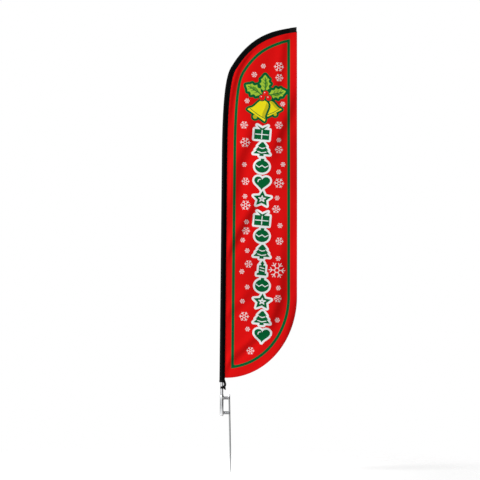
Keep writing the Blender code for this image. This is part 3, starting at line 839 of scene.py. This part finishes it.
def panel_outline(hoist_inset, fly_inset, foot_inset):
    """Closed outline that keeps its own distance from the seam, the fly and the foot."""
    seam = np.array([EDGE.seam(d, hoist_inset)[:] for d in np.linspace(0.0, EDGE.length, 330)])[:, ::2]
    if hoist_inset > TUCK:
        rounding = np.hanning(2 * BORDER_ROUNDING + 1) / np.hanning(2 * BORDER_ROUNDING + 1).sum()
        middle = [np.convolve(seam[:, i], rounding, "valid") for i in (0, 1)]
        seam[BORDER_ROUNDING:-BORDER_ROUNDING] = np.stack(middle, axis=1)
    seam = [Vector(p) for p in seam]
    seam = [p for p in seam if p.x < fly_point(p.y, fly_inset).x - 0.001]
    top = seam[-1]
    arc = corner_arc(fly_inset, 46)
    floor = PANEL_LOW.z + foot_inset
    low = arc[-1].y
    arc = [Vector((p.x, floor + (p.y - low) * (FLY_BOTTOM.y - floor) / (FLY_BOTTOM.y - low))) for p in arc]
    left = seam[0].x + 0.002
    arc = [p for p in arc if p.x > left]
    seam = [p for p in seam if p.y > arc[-1].y + 0.001]
    foot = Vector((seam[0].x, arc[-1].y))
    fly_top = fly_point(top.y, fly_inset)
    return [foot] + seam + [fly_top] + arc


stamps = []


def anticlockwise(points):
    """The same outline, turned to run anticlockwise."""
    area = sum(a.x * b.y - b.x * a.y for a, b in zip(points, points[1:] + points[:1]))
    return points if area > 0.0 else points[::-1]


def stamp(colour, points):
    """Print a closed shape over what is already there."""
    stamps.append((colour, anticlockwise([Vector(p) for p in points])))


def disc(centre, radius, count=20):
    """Round outline."""
    turns = [2.0 * math.pi * i / count for i in range(count)]
    return [Vector(centre) + radius * Vector((math.cos(a), math.sin(a))) for a in turns]


def placed(points, centre, size, tilt=0.0):
    """Shape drawn about zero, sized, turned and moved into place."""
    c, s = math.cos(tilt), math.sin(tilt)
    wide, tall = size
    sized = [(x * wide, y * tall) for x, y in points]
    return [Vector((centre[0] + c * x - s * y, centre[1] + s * x + c * y)) for x, y in sized]


def stroke(colour, points, half, closed=True):
    """Line of even width along an outline, with round joints."""
    ends = points[1:] + points[:1] if closed else points[1:]
    for a, b in zip(points, ends):
        side = (b - a).orthogonal().normalized() * half
        stamp(colour, [a - side, b - side, b + side, a + side])
        stamp(colour, disc(b, half, 12))
    if not closed:
        stamp(colour, disc(points[0], half, 12))


BORDER_HOIST = 0.060
BORDER_FLY = 0.069
BORDER_FOOT = 0.091
BORDER_WIDTH = 0.029
for ink, width in ((GREEN, 0.0), (RED, BORDER_WIDTH)):
    insets = (BORDER_HOIST + width, BORDER_FLY + width, BORDER_FOOT + width)
    stamp(ink, steps_along(panel_outline(*insets), CLOTH_GRID))

# Snow: places and radii as (x, height, radius)
SNOW_FALL = (
    (0.390, 3.503, 0.025), (0.545, 3.497, 0.050), (0.300, 3.417, 0.029), (0.550, 3.387, 0.040),
    (0.230, 3.154, 0.026), (0.586, 3.125, 0.026), (0.202, 2.912, 0.040), (0.550, 2.912, 0.040),
    (0.551, 2.764, 0.024), (0.214, 2.738, 0.052), (0.552, 2.668, 0.040), (0.208, 2.517, 0.025),
    (0.594, 2.520, 0.025), (0.551, 2.445, 0.025), (0.220, 2.349, 0.040), (0.555, 2.332, 0.052),
    (0.216, 2.199, 0.025), (0.538, 2.184, 0.025), (0.223, 2.110, 0.052), (0.529, 2.073, 0.042),
    (0.234, 1.943, 0.025), (0.569, 1.909, 0.027), (0.229, 1.854, 0.040), (0.197, 1.761, 0.025),
    (0.564, 1.753, 0.040), (0.243, 1.656, 0.025), (0.554, 1.579, 0.026), (0.258, 1.522, 0.040),
    (0.541, 1.462, 0.083), (0.191, 1.446, 0.026), (0.246, 1.292, 0.025), (0.558, 1.284, 0.025),
    (0.553, 1.178, 0.040), (0.199, 1.150, 0.025), (0.217, 0.998, 0.050), (0.549, 0.963, 0.026),
    (0.253, 0.871, 0.025), (0.282, 0.655, 0.040),
)


def snowflake(x, z, radius):
    """Hexagon with six arms that each end in three twigs."""
    half = 0.0016 + 0.024 * radius
    lines = []
    for arm in range(6):
        turn = math.radians(60.0 * arm - 3.0)
        out, after = (Vector((math.cos(a), math.sin(a))) * radius for a in (turn, turn + math.pi / 3.0))
        lines += [(out * 0.30, after * 0.30), (out * 0.28, out)]
        for bend in (-0.9, 0.9):
            twig = Vector((math.cos(turn + bend), math.sin(turn + bend))) * radius
            lines.append((out * 0.58, out * 0.58 + twig * 0.38))
    for start, end in lines:
        side = (end - start).orthogonal().normalized() * half
        stamp(SNOW, [p + Vector((x, z)) for p in (start - side, end - side, end + side, start + side)])


for flake in SNOW_FALL:
    snowflake(*flake)

# Column of ornaments, drawn in a box one unit wide and tall: (outline, lines over it)
def mirrored(*points):
    """Closed outline from the points down its right side."""
    return list(points) + [(-x, y) for x, y in reversed(points) if x > 0.0]


TURNS = [math.pi * i / 15.0 for i in range(30)]
TREE = (
    mirrored(
        *((0.05, 0.5), (0.29, 0.19), (0.19, 0.19), (0.41, -0.08)),
        *((0.31, -0.08), (0.52, -0.35), (0.13, -0.35), (0.13, -0.5)),
    ),
    [((-0.16, 0.10), (0.0, 0.04), (0.16, 0.10)), ((-0.26, -0.19), (0.0, -0.27), (0.26, -0.19))],
)
BAUBLE = (
    mirrored(
        (0.11, 0.5),
        (0.11, 0.36),
        *((0.44 * math.sin(a), 0.44 * math.cos(a) - 0.06) for a in TURNS[2:15]),
        (0.0, -0.5),
    ),
    [((-0.38, 0.02), (-0.19, -0.12), (0.0, 0.02), (0.19, -0.12), (0.38, 0.02))],
)
PARCEL = (
    mirrored((0.0, 0.30), (0.34, 0.5), (0.12, 0.22), (0.47, 0.22), (0.47, -0.5)),
    [((0.0, 0.16), (0.0, -0.44)), ((-0.40, -0.14), (0.40, -0.14))],
)
POINTS = [(math.sin(math.pi * i / 5.0), math.cos(math.pi * i / 5.0)) for i in range(10)]
STAR = (
    [(x * r, z * r) for (x, z), r in zip(POINTS, (0.58, 0.29) * 5)],
    [[(POINTS[i][0] * 0.22, POINTS[i][1] * 0.22) for i in (0, 4, 8, 2, 6, 0)]],
)


def lobed(turn):
    """Point on the heart's outline."""
    waves = zip((13.0, -5.0, -2.0, -1.0), range(1, 5))
    return 0.5 * math.sin(turn) ** 3, sum(size * math.cos(n * turn) for size, n in waves) / 30.0


HEART = ([lobed(a) for a in TURNS], [((-0.26, 0.02), (-0.24, 0.16), (-0.12, 0.20))])
CANDLE = (
    mirrored(
        *((0.0, 0.54), (0.12, 0.34), (0.05, 0.22), (0.20, 0.20)),
        *((0.20, -0.34), (0.30, -0.36), (0.30, -0.5)),
    ),
    [((-0.13, 0.06), (0.13, 0.0)), ((-0.13, -0.14), (0.13, -0.20))],
)
ORNAMENTS = (PARCEL, TREE, BAUBLE, HEART, STAR, PARCEL, BAUBLE, TREE, CANDLE, BAUBLE, STAR, TREE, HEART)
COLUMN_X = 0.404
COLUMN_TOP = 2.838
COLUMN_PITCH = 0.1660
FIRST_GROUP = 5
GROUP_GAP = 0.030
ORNAMENT_SIZE = (0.160, 0.140)
ORNAMENT_TILT = math.radians(-4.5)
OUTLINE = 0.0200


def ornament_column():
    """White outlines first, so that neighbours' outlines run together, then the green shapes."""
    shapes = []
    for i, (outline, lines) in enumerate(ORNAMENTS):
        height = COLUMN_TOP - COLUMN_PITCH * i - (GROUP_GAP if i >= FIRST_GROUP else 0.0)
        centre = (COLUMN_X - height * math.tan(LEAN), height)
        parts = (outline, *lines)
        shape, *marks = (placed(part, centre, ORNAMENT_SIZE, ORNAMENT_TILT) for part in parts)
        shapes.append((anticlockwise(shape), marks))
    for shape, _ in shapes:
        stroke(WHITE, shape, OUTLINE)
        stamp(WHITE, shape)
    for shape, marks in shapes:
        stamp(GREEN, shape)
        for mark in marks:
            stroke(WHITE, mark, 0.0045, closed=False)


def spiny_leaf(base, tip, width):
    """Holly leaf: a lens-shaped blade with a few spines down each side, a midrib and veins."""
    along = Vector(tip) - Vector(base)
    out = along.orthogonal().normalized()
    side = []
    for i in range(1, 12):
        share = i / 12.0
        blade = math.sin(math.pi * share) ** 0.75 * width / 2.0
        side.append((share, blade * (1.14 if i % 3 == 0 else 0.80)))
    edge = [Vector(base)] + [Vector(base) + along * s + out * w for s, w in side]
    edge += [Vector(tip)] + [Vector(base) + along * s - out * w for s, w in reversed(side)]
    stroke(GREEN, edge, 0.026)
    stamp(GREEN, edge)
    return edge, Vector(base), along, out, width


def leaf_face(edge, base, along, out, width):
    """Light face of a leaf with its ribs, printed over every outline."""
    stamp(LEAF, edge)
    stamp(LEAF_DARK, [base + along * 0.06, base + along * 0.5 - out * width * 0.30, base + along * 0.9])
    stroke(GREEN, [base, base + along * 0.86], 0.0034, closed=False)
    for share in (0.28, 0.48, 0.66):
        for bend in (-1.0, 1.0):
            root = base + along * share
            stroke(GREEN, [root, root + along * 0.13 + out * bend * width * 0.24], 0.0022, closed=False)


def bell_shape(centre, size, tilt):
    """Bell: a round shoulder that flares to a lip."""
    right = [(0.0, 0.50), (0.10, 0.49), (0.20, 0.43), (0.27, 0.32), (0.31, 0.16), (0.34, 0.0)]
    right += [(0.39, -0.14), (0.50, -0.26), (0.53, -0.36)]
    left = [(-x, y) for x, y in reversed(right[1:])]
    return placed(right + left, centre, (size, size), tilt)


def bell(centre, size, tilt):
    """Bell with its clapper, shaded down one side."""
    body = bell_shape(centre, size, tilt)
    clapper = placed([(0.0, -0.44)], centre, (size, size), tilt)[0]
    for outline in (disc(clapper, size * 0.11), body):
        stroke(GREEN, outline, 0.021)
        stamp(GREEN, outline)
    stamp(GOLD_DARK, disc(clapper, size * 0.11))
    stamp(GOLD, body)
    shade = [(0.05, 0.46), (0.20, 0.41), (0.27, 0.30), (0.32, 0.12), (0.38, -0.12), (0.49, -0.27)]
    shade += [(0.28, -0.25), (0.19, -0.05), (0.15, 0.2)]
    stamp(GOLD_DARK, placed(shade, centre, (size, size), tilt))
    lip = placed([(-0.46, -0.245), (0.0, -0.275), (0.46, -0.245)], centre, (size, size), tilt)
    stroke(GREEN, lip, 0.003, closed=False)


def sprig():
    """Three holly leaves over three berries and a pair of bells."""
    bell((0.482, 3.080), 0.150, math.radians(27.0))
    bell((0.362, 3.068), 0.200, math.radians(-35.0))
    leaves = [
        spiny_leaf((0.409, 3.235), (0.409, 3.415), 0.098),
        spiny_leaf((0.380, 3.215), (0.217, 3.313), 0.106),
        spiny_leaf((0.440, 3.212), (0.618, 3.252), 0.098),
    ]
    for leaf in leaves:
        leaf_face(*leaf)
    berries = ((0.380, 3.188), (0.447, 3.184), (0.415, 3.229))
    for centre in berries:
        stamp(GREEN, disc(centre, 0.038))
    for x, z in berries:
        stamp(BERRY, disc((x, z), 0.028))
        stamp(WHITE, disc((x - 0.009, z + 0.009), 0.0055, 10))


ornament_column()
sprig()

# Folds: creases along a path, where the cloth turns away to the right: (path, half width, slope)
FOLDS = (
    (
        ((-0.02, 2.86), (0.010, 2.98), (0.059, 3.21), (0.137, 3.48), (0.243, 3.685), (0.42, 3.84)),
        0.047,
        0.30,
    ),
    (((0.07, 1.98), (0.126, 2.26), (0.164, 2.51), (0.262, 2.76), (0.35, 3.10)), 0.058, 0.20),
    (
        ((-0.02, 1.44), (0.051, 1.61), (0.130, 1.76), (0.219, 1.92), (0.318, 2.09), (0.48, 2.34)),
        0.044,
        0.27,
    ),
    (((-0.06, 0.36), (0.055, 0.51), (0.154, 0.61), (0.303, 0.74), (0.50, 0.94)), 0.038, 0.30),
    (((0.16, 0.32), (0.40, 0.42), (0.535, 0.56), (0.655, 0.76), (0.73, 1.02), (0.78, 1.45)), 0.042, 0.27),
    (((0.38, 0.68), (0.477, 0.88), (0.556, 1.06), (0.614, 1.26), (0.62, 1.60), (0.68, 2.25)), 0.052, 0.22),
    (((0.46, 2.46), (0.592, 2.86), (0.670, 3.04), (0.76, 3.38)), 0.047, 0.20),
    (((0.47, 3.02), (0.56, 3.36), (0.60, 3.60), (0.63, 3.94)), 0.040, 0.16),
    (((-0.06, 0.84), (0.056, 1.00), (0.136, 1.08), (0.235, 1.18), (0.40, 1.36)), 0.046, 0.16),
)
BILLOW = 0.017
BILLOW_LENGTH = 1.7
BILLOW_SHIFT = 0.55
FLUTTER = 0.0035
SEAM_PUCKER = 0.0009
HOIST = np.array([EDGE.seam(d, CLOTH_GAP)[:] for d in np.linspace(0.0, EDGE.length, 600)])


def crease(x, z, path, width, slope):
    """Step across a path, steepest on it and faded out at its ends."""
    near = 9.0
    for i, ((x0, z0), (x1, z1)) in enumerate(zip(path, path[1:])):
        run_x, run_z = x1 - x0, z1 - z0
        share = min(max(((x - x0) * run_x + (z - z0) * run_z) / (run_x**2 + run_z**2), 0.0), 1.0)
        distance = math.hypot(x - x0 - share * run_x, z - z0 - share * run_z)
        if distance < near:
            near = distance
            off = math.copysign(distance, run_z * (x - x0) - run_x * (z - z0))
            along = (i + share) / (len(path) - 1)
    if near > 4.0 * width:
        return 0.0
    ends = smoothstep(0.0, 0.3, along) * smoothstep(1.0, 0.7, along)
    return slope * off * math.exp(-0.5 * (off / width) ** 2) * ends


def drape(x, z):
    """Sideways place of the cloth: a long billow, diagonal folds, a fluttering fly and seam puckers."""
    reach = max(x - float(np.interp(z, HOIST[:, 2], HOIST[:, 0])), 0.0)
    share = reach / (FLY_BOTTOM.x - CORNER_X)
    y = BILLOW * share**1.3 * math.sin(2.0 * math.pi * (z / BILLOW_LENGTH + BILLOW_SHIFT * share))
    y += sum(crease(x, z, *fold) for fold in FOLDS) * smoothstep(0.0, 0.05, reach)
    drift = 0.3 * noise.noise(Vector((z * 2.0, 1.0, 0.0)))
    y += FLUTTER * share**2 * math.sin(2.0 * math.pi * (z / 0.43 + drift))
    wander = noise.noise(Vector((z * 9.0, 0.0, 4.0)))
    gather = math.exp(-reach / 0.030) * smoothstep(0.0, 0.008, reach)
    y += SEAM_PUCKER * gather * math.sin(z * 150.0 + 5.0 * wander)
    y += 0.0012 * noise.noise(Vector((x * 7.0, z * 5.0, 2.0))) * smoothstep(0.0, 0.1, reach)
    return 0.030 * math.tanh(y / 0.030)


def printed_cloth():
    """Flat pattern cut along every printed edge, then hung: each facet keeps its ink."""
    outline = anticlockwise(steps_along(panel_outline(-TUCK, 0.0, 0.0), CLOTH_GRID * 0.8))
    shapes = [(RED, outline)] + stamps
    points = []
    faces = []
    for _, shape in shapes:
        faces.append(list(range(len(points), len(points) + len(shape))))
        points += shape
    tree = kdtree.KDTree(len(points))
    for i, point in enumerate(points):
        tree.insert((point.x, point.y, 0.0), i)
    tree.balance()
    rows = int((PANEL_HIGH.z - PANEL_LOW.z) / CLOTH_GRID)
    for row in range(rows):
        z = PANEL_LOW.z + row * CLOTH_GRID
        column = 0
        while column * CLOTH_GRID < PANEL_HIGH.x:
            x = (column + 0.5 * (row % 2)) * CLOTH_GRID
            column += 1
            if tree.find((x, z, 0.0))[2] > CLOTH_GRID * 0.55:
                points.append(Vector((x, z)))
    spots, _, facets, _, _, owners = delaunay_2d_cdt(points, [], faces, 1, 0.00002)
    bm = bmesh.new()
    ink = bm.loops.layers.float_color.new("Ink")
    lay = bm.loops.layers.uv.new("Lay")
    bake = bm.loops.layers.uv.new("OFBake")
    width = PANEL_HIGH.x - CORNER_X + 0.02
    height = PANEL_HIGH.z - PANEL_LOW.z
    verts = [bm.verts.new((p.x, drape(p.x, p.y), p.y)) for p in spots]
    for facet, inside in zip(facets, owners):
        if not inside:
            continue
        face = bm.faces.new([verts[i] for i in facet])
        colour = shapes[max(inside)][0]
        for loop, i in zip(face.loops, facet):
            loop[ink] = (*colour, 1.0)
            loop[lay].uv = spots[i]
            across = (spots[i].x - CORNER_X + 0.01) / width
            loop[bake].uv = (0.01 + 0.98 * across, 0.01 + 0.98 * (spots[i].y - PANEL_LOW.z) / height)
    bmesh.ops.delete(bm, geom=[v for v in bm.verts if not v.link_faces], context="VERTS")
    return bm


def print_finish():
    """Ink on knitted polyester: it soaks in unevenly, over fine wales and courses."""
    finish = Finish("printed_knit", Specular_IOR_Level=0.03)
    ink = finish.node("ShaderNodeVertexColor", {"layer_name": "Ink"})
    lay = finish.node("ShaderNodeUVMap", {"uv_map": "Lay"})
    split = finish.node("ShaderNodeSeparateXYZ", None, {0: lay}).socket.node
    wale = (Value(finish, split.outputs[0]) * 4200.0).maths("SINE")
    course = (Value(finish, split.outputs[1]) * 4200.0).maths("SINE")
    knit = wale * course
    cloud = finish.grain(5.0, 5.0, where=lay)
    soak = finish.grain(160.0, 3.0, where=lay)
    shade = 0.90 + 0.14 * cloud + 0.06 * soak + 0.03 * knit
    tone = finish.node("ShaderNodeHueSaturation", None, {"Value": shade, "Color": ink})
    finish.feed(Base_Color=tone, Roughness=0.58 + 0.16 * soak)
    crease = finish.relief(finish.grain(22.0, 3.0, where=lay), 0.18, 0.004)
    return finish.feed(Normal=finish.relief(knit, 0.18, 0.0002, over=crease))


PRINT = print_finish()
cloth = shaped("flag_cloth", printed_cloth(), PRINT, 180.0)
cloth_thickness = cloth.modifiers.new("cloth_thickness", "SOLIDIFY")
cloth_thickness.thickness = 0.0006
cloth_thickness.offset = 0.0
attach(cloth, "flag")
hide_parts("flag_panel")

# Hems and stitching ---------------------------------------------------------------------------
# The free edge is turned twice and sewn down; the sleeve's seam has two rows of stitches on each
# face. Stitches are short beads of thread.

HEM_WIDTH = 0.014
HEM_DEPTH = 0.0009
STITCH_PITCH = 0.0065
STITCH_LENGTH = 0.0042
THREAD_RADIUS = 0.0004


def hem_stations():
    """Points down the free edge with the direction into the cloth."""
    outline = panel_outline(CLOTH_GAP, 0.0, 0.0)
    top = max(range(len(outline)), key=lambda i: outline[i].x + outline[i].y)
    edge = steps_along(outline[top:] + outline[:1], 0.010)
    edge = edge[: next(i for i, p in enumerate(edge) if p.x <= outline[0].x + 0.004)]
    stations = []
    for before, point, after in zip(edge, edge[1:], edge[2:]):
        along = (after - before).normalized()
        stations.append((point, Vector((along.y, -along.x))))
    return stations


def turned_hem():
    """Band folded round the free edge, a little uneven where the needle pulls it in."""
    rings = []
    lay = []
    for k, (point, inward) in enumerate(hem_stations()):
        ring = []
        pull = 1.0 + 0.12 * math.sin(k * 1.7)
        profile = (
            (-0.0006, 0.0),
            (-0.0003, 0.75),
            (0.004, 1.0),
            (0.010, 0.95 * pull),
            (HEM_WIDTH, 0.55),
            (HEM_WIDTH, 0.35),
        )
        for inset, lift in profile + tuple((i, -h) for i, h in reversed(profile[1:])):
            place = point + inward * inset
            y = drape(place.x, place.y)
            ring.append(Vector((place.x, y + HEM_DEPTH * lift, place.y)))
        rings.append(ring)
        lay.append(k * 0.010)
    return lofted("free_edge_hem", rings, HEM_KNIT, lay)


HEM_KNIT = knitted("hem_knit", (0.60, 0.0055, 0.0065), 0.0)
hem = turned_hem()
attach(hem, "flag")


def thread_finish(name, tone):
    """Spun sewing thread."""
    finish = Finish(name, Roughness=0.55)
    twist = finish.grain(2400.0, 1.0)
    finish.feed(Base_Color=finish.blend(twist, tuple(t * 0.6 for t in tone), tone))
    return finish.feed(Normal=finish.relief(twist, 0.4, 0.0002))


def stitched(name, rows, finish):
    """Rows of stitches. A row gives a point and an outward direction for each distance along it."""
    bm = bmesh.new()
    for row, length in rows:
        for k in range(int(length / STITCH_PITCH)):
            start, out = row(k * STITCH_PITCH)
            end, _ = row(k * STITCH_PITCH + STITCH_LENGTH)
            along = end - start
            side = along.cross(out).normalized() * THREAD_RADIUS
            lift = out * THREAD_RADIUS
            crown = (start + end) / 2.0 + lift * 1.1
            foot = [start, (start + end) / 2.0 + side, end, (start + end) / 2.0 - side]
            rise = [p - lift * 0.6 for p in foot] + [p + lift * 0.2 for p in foot] + [crown]
            verts = [bm.verts.new(p) for p in rise]
            for i in range(4):
                j = (i + 1) % 4
                bm.faces.new((verts[i], verts[j], verts[4 + j], verts[4 + i]))
                bm.faces.new((verts[4 + i], verts[4 + j], verts[8]))
            bm.faces.new(verts[:4])
    made = shaped(name, bm, finish, 60.0)
    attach(made, "flag")
    return made


def seam_row(inset, face):
    """Row beside the seam, on the sleeve's web."""

    def row(distance):
        point = EDGE.seam(distance, -inset)
        half = SEAM_DEPTH + 0.0005 + 0.10 * inset
        return point + Vector((0.0, face * half, 0.0)), Vector((0.0, face, 0.0))

    return row, EDGE.length


def hem_row(face):
    """Row near the inner edge of the hem."""
    stations = hem_stations()

    def row(distance):
        place = distance / 0.010
        i = min(int(place), len(stations) - 2)
        point, inward = stations[i]
        after, inward_after = stations[i + 1]
        spot = (point + inward * 0.0105).lerp(after + inward_after * 0.0105, place - i)
        y = drape(spot.x, spot.y) + face * HEM_DEPTH * 1.02
        return Vector((spot.x, y, spot.y)), Vector((0.0, face, 0.0))

    return row, (len(stations) - 1) * 0.010


stitched(
    "seam_stitches",
    [seam_row(inset, face) for inset in (0.0035, 0.0085) for face in (-1.0, 1.0)],
    thread_finish("black_thread", (0.012, 0.012, 0.013)),
)
hem_stitches = stitched(
    "hem_stitches",
    [hem_row(face) for face in (-1.0, 1.0)],
    thread_finish("red_thread", (0.52, 0.012, 0.012)),
)

# Tip patch and mouth binding ------------------------------------------------------------------
# Webbing folded over the closed tip, where the rod bears on it, and a band of the same webbing
# bound round the open mouth.

PATCH_LENGTH = 0.070
BINDING_HEIGHT = 0.022
WEBBING_DEPTH = 0.0012


def webbing_finish():
    """Woven polyester webbing: close ribs across the strap, a little dust in the weave."""
    finish = Finish("black_webbing", Specular_IOR_Level=0.12)
    lay = finish.node("ShaderNodeUVMap", {"uv_map": "Lay"})
    split = finish.node("ShaderNodeSeparateXYZ", None, {0: lay}).socket.node
    rib = (Value(finish, split.outputs[0]) * 3600.0).maths("SINE")
    yarn = (Value(finish, split.outputs[1]) * 4800.0).maths("SINE")
    weave = rib * 0.7 + yarn * 0.5
    dust = finish.grain(60.0, 4.0)
    tone = finish.blend(0.25 * weave + 0.6 * dust, (0.0025, 0.0025, 0.0027), (0.008, 0.008, 0.0085))
    finish.feed(Base_Color=tone, Roughness=0.62 + 0.15 * dust)
    return finish.feed(Normal=finish.relief(weave, 0.5, 0.0004))


WEBBING = webbing_finish()


def folded_band(name, node, start, end, steps, closed):
    """Strip of webbing round the sleeve between two distances; an open one stops short of the seam."""
    distances = [start + (end - start) * i / steps for i in range(steps + 1)]
    outside, inside = (
        [drop_section(d, gap, closed=closed, pucker=False) for d in distances]
        for gap in (CLOTH_GAP + WEBBING_DEPTH, CLOTH_GAP)
    )
    if closed:
        rings = []
        for i in range(len(outside[0])):
            rings.append([inner[i] for inner in inside] + [outer[i] for outer in outside[::-1]])
        rings.append(rings[0])
        lay = [0.0]
        for a, b in zip(rings, rings[1:]):
            lay.append(lay[-1] + (b[0] - a[0]).length)
        made = lofted(name, rings, WEBBING, lay, ends=(False, False))
        weld = made.modifiers.new("join", "WELD")
        weld.merge_threshold = 0.00001
    else:
        rings = [outer + inner[::-1] for outer, inner in zip(outside, inside)]
        made = lofted(name, rings, WEBBING, distances, smooth_angle=50.0)
    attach(made, "flag")
    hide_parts(node)
    return made


folded_band("tip_webbing", "tip_patch", EDGE.length - PATCH_LENGTH, EDGE.length, 14, False)
folded_band("mouth_webbing", "mouth_binding", 0.0, BINDING_HEIGHT, 6, True)

# Tie strap and knot ---------------------------------------------------------------------------
# Narrow webbing sewn into the sleeve's corner, brought down, turned round the pole and finished
# in a knot with a short tail. It keeps the sleeve from riding up.

STRAP_WIDTH = 0.023
STRAP_DEPTH = 0.0018
STRAP_TURNS = 0.8
STRAP_PITCH = 0.010
DROP_STATIONS = 13
WRAP_RADIUS = POLE_RADIUS + 0.0003 + STRAP_DEPTH / 2.0
WRAP_TOP = MOUTH.z - 0.0515
WRAP_START = math.radians(-75.0)
UPRIGHT = Vector((0.0, 0.0, 1.0))


def ribbon(name, route, width, depth, step=0.0015):
    """Strap along a smoothed route of (point, direction of its width), with soft edges."""
    dense = []
    for i in range(len(route) - 1):
        p = [route[max(min(k, len(route) - 1), 0)][0] for k in (i - 1, i, i + 1, i + 2)]
        count = max(1, round((p[2] - p[1]).length / step))
        for j in range(count):
            t = j / count
            curve = 2.0 * p[1] + (p[2] - p[0]) * t
            curve += (2.0 * p[0] - 5.0 * p[1] + 4.0 * p[2] - p[3]) * t * t
            curve += (3.0 * p[1] - p[0] - 3.0 * p[2] + p[3]) * t**3
            dense.append((curve / 2.0, route[i][1].lerp(route[i + 1][1], t)))
    dense.append(route[-1])
    rings = []
    lay = [0.0]
    section = [(1.0, 0.0), (0.96, 0.7), (0.7, 1.0), (0.0, 0.92), (-0.7, 1.0), (-0.96, 0.7)]
    section += [(-w, -t) for w, t in section]
    for k, (point, wide) in enumerate(dense):
        along = (dense[min(k + 1, len(dense) - 1)][0] - dense[max(k - 1, 0)][0]).normalized()
        across = (wide - along * wide.dot(along)).normalized()
        thick = along.cross(across)
        rings.append([point + across * w * width / 2.0 + thick * t * depth / 2.0 for w, t in section])
        if k:
            lay.append(lay[-1] + (point - dense[k - 1][0]).length)
    made = lofted(name, rings, WEBBING, lay, smooth_angle=50.0)
    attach(made, "flag")
    return made


def strap_route():
    """Sewn end, drop and turn round the pole, as (place, direction of its width)."""
    around = []
    for i in range(40):
        turn = STRAP_TURNS * i / 39
        angle = WRAP_START - 2.0 * math.pi * turn
        outward = Vector((math.cos(angle), math.sin(angle), 0.0))
        around.append((outward * WRAP_RADIUS + UPRIGHT * (WRAP_TOP - STRAP_PITCH * turn), outward))
    front = Vector((0.0, -1.0, 0.0))
    start = Vector((MOUTH.x + SLEEVE_WIDTH - 0.0035, -0.0066, MOUTH.z + 0.002))
    end, facing = around[0]
    heading = Vector((facing.y, -facing.x, 0.0))
    leaving = start + Vector((0.0090, 0.001, -0.0235))
    arriving = end - heading * 0.036 + Vector((0.0, -0.004, 0.012))
    sewn = (Vector((-0.0078, 0.0, 0.027)), Vector((-0.0045, -0.0002, 0.013)))
    route = [(start + offset, front) for offset in sewn]
    drop = interpolate_bezier(start, leaving, arriving, end, DROP_STATIONS)
    for i, point in enumerate(drop[:-1]):
        route.append((point, front.lerp(facing, i / DROP_STATIONS).normalized()))
    route += around
    ways = [(after[0] - before[0]).normalized() for before, after in zip(route, route[1:])]
    return [(point, outward.cross(way)) for (point, outward), way in zip(route, ways + ways[-1:])]


strap = ribbon("tie_webbing", strap_route(), STRAP_WIDTH, STRAP_DEPTH)
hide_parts("tie_strap")

knot_low, knot_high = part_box("tie_knot")
KNOT = Vector((knot_low.x + 0.0105, 0.0, knot_high.z - 0.0105))


def knot_turn(name, points, width, depth=STRAP_DEPTH):
    """One pass of the knot, as (place from its middle, direction of its width)."""
    route = [(KNOT + Vector(place), Vector(way).normalized()) for place, way in points]
    return ribbon(name, route, width, depth, 0.001)


ring = [2.0 * math.pi * i / 16 + 0.9 for i in range(17)]
collar_turn = []
for a in ring:
    place = (0.0016 * math.sin(a), 0.0099 * math.cos(a), 0.0096 * math.sin(a))
    collar_turn.append((place, (1.0, 0.16 * math.sin(a), 0.12)))
knot = knot_turn("tie_knot_collar", collar_turn, 0.0140)
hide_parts("tie_knot")
knot_turn(
    "tie_knot_bight",
    [
        ((-0.0090, -0.0010, 0.0010), (0.0, 0.25, 1.0)),
        ((-0.0050, -0.0035, 0.0008), (0.0, 0.35, 1.0)),
        ((0.0010, -0.0050, 0.0005), (0.0, 0.30, 1.0)),
        ((0.0070, -0.0042, 0.0002), (0.1, 0.10, 1.0)),
        ((0.0098, 0.0002, 0.0), (0.1, 0.0, 1.0)),
        ((0.0070, 0.0042, 0.0), (0.1, -0.10, 1.0)),
        ((0.0010, 0.0050, 0.0), (0.0, -0.30, 1.0)),
        ((-0.0050, 0.0035, 0.0), (0.0, -0.35, 1.0)),
        ((-0.0090, 0.0012, 0.0), (0.0, -0.25, 1.0)),
    ],
    0.0125,
    0.0040,
)
knot_turn(
    "tie_knot_tail",
    [
        ((-0.0010, -0.0062, 0.0060), (1.0, 0.0, 0.1)),
        ((0.0006, -0.0078, 0.0), (1.0, 0.1, 0.2)),
        ((0.0035, -0.0072, -0.0072), (1.0, 0.2, 0.4)),
        ((0.0066, -0.0050, -0.0130), (1.0, 0.1, 0.5)),
        ((0.0094, -0.0034, -0.0176), (1.0, 0.0, 0.5)),
    ],
    0.0125,
)
